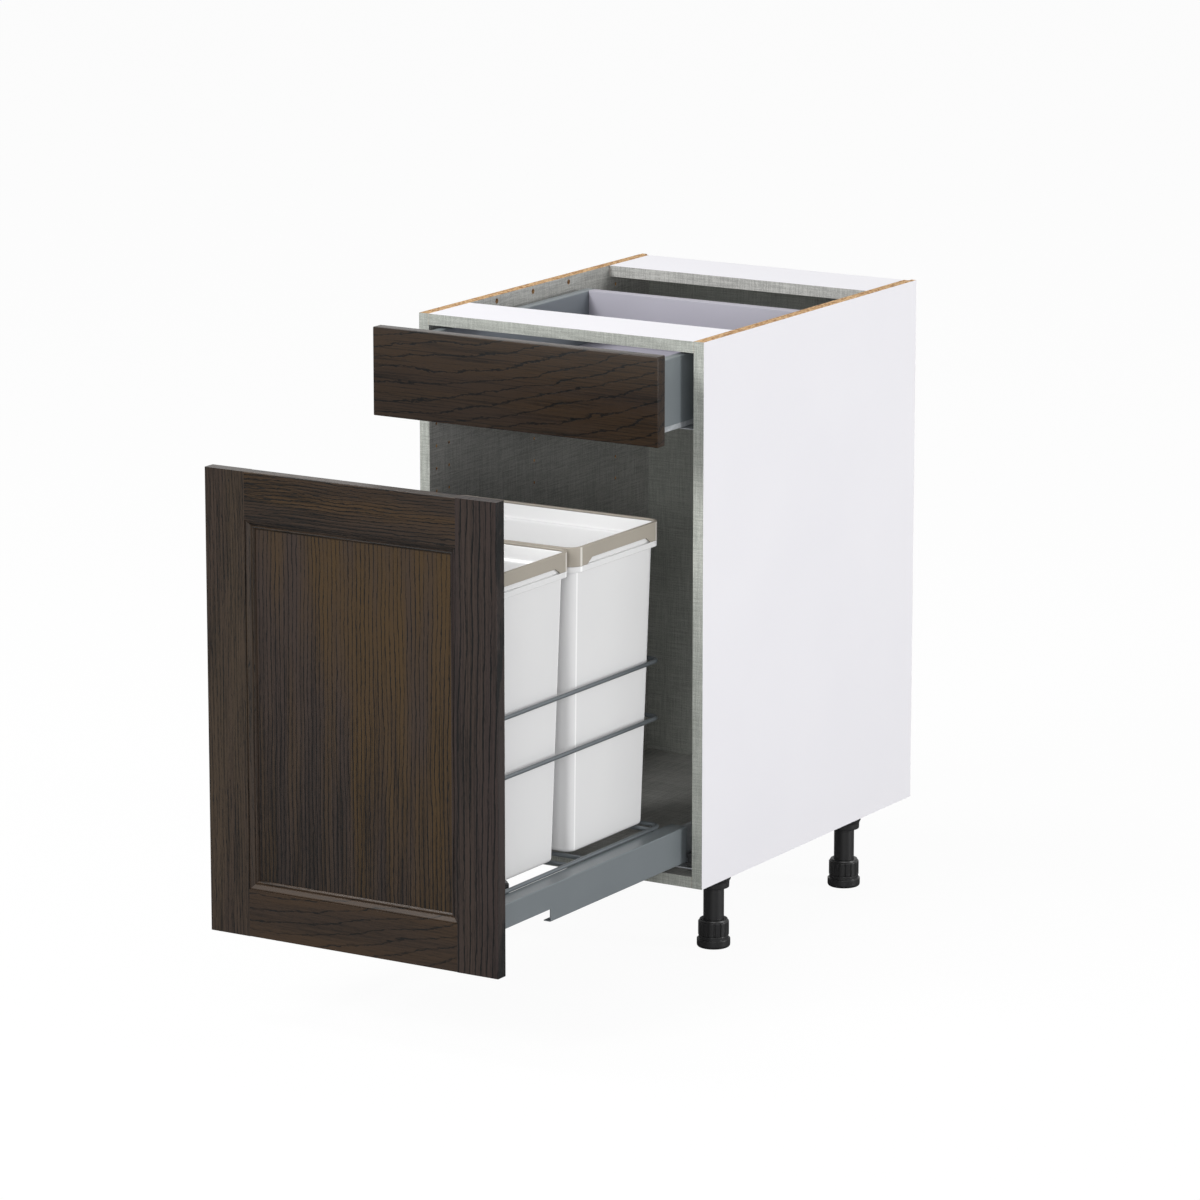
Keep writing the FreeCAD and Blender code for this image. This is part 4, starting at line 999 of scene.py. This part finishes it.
def adjuster(tall, wide):
    """A collar with grip ribs below a smooth chamfer, open in the middle for the tube."""
    corners = [(SEAT, tall), (SEAT, 0), (wide, 0), (wide, tall - 3.6), (wide - 1.4, tall - 2.6),
               (wide - 2.2, tall), (SEAT, tall)]
    outline = softened(corners, 0.6, 3, closed=False)[:-1]
    ribbed = (outline[:, 0] > wide - 1.0) & (outline[:, 1] < tall - 3.2)
    return outline, dict(ribs=RIB_COUNT, rib_depth=RIB_DEPTH * MM, rib_rows=ribbed.astype(float), closed=True)


def foot(tall, wide):
    """A stepped pad and a stem: r = radius - depth * a triangle wave of z, with a ridge for each pitch."""
    neck = wide - 2.5
    corners = [(CORE, 0), (wide - 1.8, 0), (wide, 2.2), (wide, 12), (neck, 12.2), (neck, 17), (STEM, 17)]
    pad = softened(corners, np.array([0, 1.8, 1.8, 0.7, 0.5, 0.8, 0]), 4, closed=False)
    z = np.arange(STEM_START, tall - 2, PITCH / 4)
    wave = np.abs(((z - STEM_START) / PITCH) % 1 - 0.5) * 2
    ridges = np.stack([STEM - RIDGE * wave, z], axis=-1)
    return np.concatenate([pad, ridges, [(9.0, tall), (CORE, tall)]]), {}


LEG_PARTS = {"socket": socket, "tube": leg_tube, "adjuster": adjuster, "foot": foot}
print("leg outlines:", *LEG_PARTS)

# %% [markdown]
# The four legs are alike, so each outline is drawn to the size of its measured piece and turned in its place.

# %% Legs
def leg_piece(name, draw):
    """A turned piece of one leg: draw gives an outline, and ribs if any, for a height and a radius."""
    low, high = box(name)
    outline, ribs = draw((high[2] - low[2]) / MM, (high[0] - low[0]) / 2 / MM)
    centre = ((low[0] + high[0]) / 2, (low[1] + high[1]) / 2, low[2])
    body = turned(outline * MM, centre, 192 if ribs else 96, **ribs)
    piece(name, [body], LEG_BLACK, (name,), crease=40)


for corner in ("front_left", "front_right", "rear_left", "rear_right"):
    for part, draw in LEG_PARTS.items():
        leg_piece(f"{corner}_leg_{part}", draw)

# %% [markdown]
# A bin is one moulded wall: out along the floor, up the tapered side, round a ledge, up the lip, over the
# edge, down inside past a step and back along the floor. Drawn as (distance out from the bin's nominal face,
# height) and carried round a rounded rectangle, this makes the whole bin, inside and outside, in one grid.
# The finish gets a point in the bin's middle, just under its mouth, to tell the inside from the outside, and
# it paints the inside paler as painted light.

# %% Bins
BIN_TAPER, BIN_CORNER, BIN_WALL, LEDGE_OUT, LIP_OUT = 11.5 * MM, 14.0 * MM, 2.5 * MM, 7.0 * MM, 4.0 * MM
LEDGE_TALL, RIM_OVER, RIM_REST, LIP_STEP = 8.6 * MM, 3.2 * MM, 0.4 * MM, 2.0 * MM
INNER_STEP, FLOOR_REACH, MIDDLE_DROP = 20.0 * MM, 40.0 * MM, 10.0 * MM
BIN_BENDS = np.array([0, 6, 1.6, 1.0, 0.8, 0.3, 0.3, 0.3, 0.8, 0.8, 2.5, 2.5, 8, 0]) * MM


def bin_wall(name, rim):
    """Rows follow the wall's outline, columns run round the bin, and corners grow with the distance out."""
    low, high = box(name)
    rim_low, rim_high = box(rim)
    tall = rim_high[2] - RIM_OVER - low[2]
    ledge_top = rim_low[2] - RIM_REST - low[2]
    ledge = ledge_top - LEDGE_TALL

    def lean(z):
        return -BIN_TAPER * (1 - z / tall)

    lip_in, floor_end = LIP_OUT - BIN_WALL, -BIN_TAPER - FLOOR_REACH
    outline = [(floor_end, 0), (-BIN_TAPER, 0), (lean(ledge), ledge), (LEDGE_OUT, ledge + 0.6 * MM),
               (LEDGE_OUT, ledge_top), (LIP_OUT - LIP_STEP, ledge_top),
               (LIP_OUT - LIP_STEP, ledge_top + 1.4 * MM), (LIP_OUT, ledge_top + 1.5 * MM), (LIP_OUT, tall),
               (lip_in, tall), (lip_in, tall - INNER_STEP + 1 * MM),
               (lean(tall - INNER_STEP) - BIN_WALL, tall - INNER_STEP - 0.5 * MM),
               (-BIN_TAPER - BIN_WALL, BIN_WALL), (floor_end, BIN_WALL)]
    rows = softened(outline, BIN_BENDS, 6, closed=False)
    half = (high - low) / 2 - LEDGE_OUT
    out = rows[:, :1]
    x, y, _ = ring(half[0] + out, half[1] + out, BIN_CORNER + np.maximum(out, -BIN_WALL), BEND_STEPS)
    middle = (low + high) / 2
    height = np.broadcast_to(low[2] + rows[:, 1:], x.shape)
    return shell(np.stack([middle[0] + x, middle[1] + y, height], axis=-1))


for end in ("front", "rear"):
    name = f"{end}_bin"
    low, high = box(name)
    middle = (*((low + high) / 2)[:2], high[2] - MIDDLE_DROP)
    # The last two colours are a painted highlight on the corners and a paler painted light on the inside.
    white = mottled(f"{name}_white", (226, 226, 227), (230, 230, 230), 0.2, 500.0, 0.0, (252, 252, 252),
                    (middle, (245, 245, 245)))
    piece(name, [bin_wall(name, f"{name}_rim")], white, (name,), crease=50)

# %% [markdown]
# A taupe rim sits over each lip and holds the bag. It's a collar with a narrow flat top. Along the middle of
# each side its lower edge is cut up to uncover the lip, with a sloping cut at both ends, so the lower rows of
# the grid rise with the distance from the corner.

# %% Bag rims
RIM_WALL, RIM_REACH, CUT_END, CUT_SLOPE, CUT_RISE = 2.8 * MM, 5.0 * MM, 32.0 * MM, 12.0 * MM, 9.0 * MM
CUT_BLEND, ON_FACE = 3.0 * MM, 1.0 * MM
RIM_BENDS = np.array([0.5, 1.1, 0.8, 0.8, 0.8, 0.5]) * MM
CUT_MARKS = np.array([-0.5, -0.1, 0.0, 0.25, 0.5, 0.75, 1.0, 1.1, 1.6])


def side_runs(x, y, marks):
    """The ring with points added along its four straight sides, at marks measured in from both ends."""
    x, y = (part.reshape(part.shape[0], 4, -1) for part in (x, y))
    runs = []
    for part in (x, y):
        start, span = part[:, :, -1:], np.roll(part[:, :, :1], -1, axis=1) - part[:, :, -1:]
        share = np.clip(marks / np.maximum(np.abs(span).max(axis=2, keepdims=True), 1e-9), 0, 0.5)
        runs.append(np.concatenate([start + span * share, start + span * (1 - share[:, :, ::-1])], axis=2))
    return [np.concatenate([part, run], axis=2) for part, run in zip((x, y), runs)]


def rim_collar(name):
    """Rows follow the collar's closed section, columns run round it.

    On the straight sides the lower edge rises by the cut's height * (distance past the cut's end / slope).
    """
    low, high = box(name)
    half, tall = (high - low) / 2, high[2] - low[2]
    under = tall - RIM_WALL
    section = softened([(0, 0), (0, tall), (-RIM_REACH, tall), (-RIM_REACH, under), (-RIM_WALL, under),
                        (-RIM_WALL, 0)], RIM_BENDS, 3)
    out = section[:, :1]
    corner = BIN_CORNER + LIP_OUT + RIM_WALL
    x, y, _ = ring(half[0] + out, half[1] + out, corner + out, BEND_STEPS)
    x, y = side_runs(x, y, CUT_END - corner + CUT_SLOPE * CUT_MARKS)
    from_x, from_y = half[0] - np.abs(x[:1]), half[1] - np.abs(y[:1])
    straight = np.arange(x.shape[2]) >= x.shape[2] - 2 * len(CUT_MARKS)
    on_side = straight * (np.minimum(from_x, from_y) < ON_FACE)
    rise = CUT_RISE * np.clip((np.maximum(from_x, from_y) - CUT_END) / CUT_SLOPE, 0, 1) * on_side
    height = section[:, 1][:, None, None]
    z = low[2] + height + rise * np.clip(1 - height / CUT_BLEND, 0, 1)
    middle = (low + high) / 2
    points = np.stack(np.broadcast_arrays(middle[0] + x, middle[1] + y, z), axis=-1)
    return shell(points.reshape(len(section), -1, 3), close_rows=True, caps=False)


for name in ("front_bin_rim", "rear_bin_rim"):
    piece(name, [rim_collar(name)], RIM_TAUPE, (name,), crease=40)

# %% [markdown]
# The room is a plain white studio. The floor is one wide sheet. Seen by the camera it's mostly its own white,
# with a share of lit white on top that carries the object's soft shadow.

# %% Floor
FLOOR_HALF, FLOOR_GAP, OWN_WHITE = 30.0, 0.2 * MM, 0.95


def grey(level):
    """A grey in linear light."""
    return level, level, level, 1.0


def studio_floor():
    """A wide level sheet under the feet: x and y over a square, z a hair below the lowest point."""
    reach = np.linspace(-FLOOR_HALF, FLOOR_HALF, 3)
    x, y = np.meshgrid(reach, reach, indexing="ij")
    flat = np.stack([x, y, np.full_like(x, cad_box[0][2] - FLOOR_GAP)], axis=-1)
    points, faces = shell(flat, close_columns=False, caps=False)
    mesh = bpy.data.meshes.new("studio_floor")
    mesh.from_pydata(points.tolist(), [], faces[0][:, ::-1].tolist())
    material = bpy.data.materials.new("floor_white")
    material.use_nodes = True
    tree = material.node_tree
    tree.nodes.remove(tree.nodes["Principled BSDF"])
    cloud = noise(tree, node(tree, "TexCoord").outputs["Object"], 3.0)
    seen = node(tree, "LightPath").outputs["Is Camera Ray"]
    pale = mix(tree, cloud, grey(0.92), grey(0.95))
    matt = node(tree, "BsdfDiffuse", {"Color": mix(tree, seen, grey(0.35), pale)})
    glow = node(tree, "Emission", {"Color": grey(1.0), "Strength": 1.0})
    share = product(tree, seen, OWN_WHITE)
    both = node(tree, "MixShader", {0: share, 1: matt.outputs[0], 2: glow.outputs[0]})
    tree.links.new(both.outputs[0], tree.nodes["Material Output"].inputs["Surface"])
    mesh.materials.append(material)
    item = bpy.data.objects.new("studio_floor", mesh)
    bpy.context.collection.objects.link(item)


studio_floor()
print("floor at", round(cad_box[0][2] - FLOOR_GAP, 4), "m")

# %% [markdown]
# The world is white to the camera and to reflections, and a quieter grey to everything else, so pale boards
# keep their shape.

# %% World
WORLD_LIGHT = 0.41


def studio_world():
    """White to the camera and to reflections, a quieter grey as light."""
    world = bpy.data.worlds.new("studio")
    world.use_nodes = True
    tree = world.node_tree
    path = node(tree, "LightPath").outputs
    mirrored = math_node(tree, "MAXIMUM", path["Is Glossy Ray"], path["Is Transmission Ray"])
    seen = math_node(tree, "MAXIMUM", path["Is Camera Ray"], mirrored)
    light, white = (node(tree, "Background", {"Color": grey(1.0), "Strength": strength}).outputs[0]
                    for strength in (WORLD_LIGHT, 1.0))
    both = node(tree, "MixShader", {0: seen, 1: light, 2: white})
    tree.links.new(both.outputs[0], tree.nodes["World Output"].inputs["Surface"])
    bpy.context.scene.world = world


studio_world()
print("world ready")

# %% [markdown]
# Four lamps light the cabinet. A tall one on the right makes the white side bright. A large one high in front
# on the left lights the fronts, and one near the camera lights the inside. The last hangs above on the left:
# it lights the top rails and glints on the bead of the lower moulding, which looks steeply up. Their power
# is set so that a pale board renders about as pale as it is.

# %% Lamps
middle = np.mean(cad_box, axis=0)


def lamp(name, place, size, power):
    """A lamp at a place, as wide and tall as its size, turned so that it shines at the object's middle."""
    light = bpy.data.lights.new(name, "AREA")
    light.shape, light.size, light.size_y = "RECTANGLE", *size
    light.energy = power
    item = bpy.data.objects.new(name, light)
    bpy.context.collection.objects.link(item)
    item.location = place
    x, y, z = middle - place
    item.rotation_euler = (math.atan2(math.hypot(x, y), -z), 0, math.atan2(-x, y))


lamp("right", (6.3, 1.6, 1.6), (1.1, 3.0), 214)
lamp("front_high", (-1.4, -5.0, 3.8), (2.0, 2.0), 200)
lamp("front", (3.4, -6.4, 1.7), (2.0, 2.0), 138)
lamp("above_left", (-2.2, -1.0, 4.7), (1.4, 1.4), 74)
print("lamps ready")

# %% [markdown]
# The camera stands high on the right, far away with a long lens, as in a catalogue picture, so upright lines
# stay nearly upright.

# %% Camera
LOOK_DOWN, LOOK_ASIDE = 12.61, 31.41
view = bpy.data.cameras.new("catalogue")
view.lens = 172.75
view.sensor_width = 36.0
view.clip_end = 60.0
camera = bpy.data.objects.new("catalogue", view)
bpy.context.collection.objects.link(camera)
camera.location = (4.082, -6.619, 2.227)
camera.rotation_euler = (math.radians(90 - LOOK_DOWN), 0, math.radians(LOOK_ASIDE))
bpy.context.scene.camera = camera
bpy.context.scene.view_settings.view_transform = "Standard"
print("camera", round(math.dist(camera.location, middle), 2), "m from the middle")
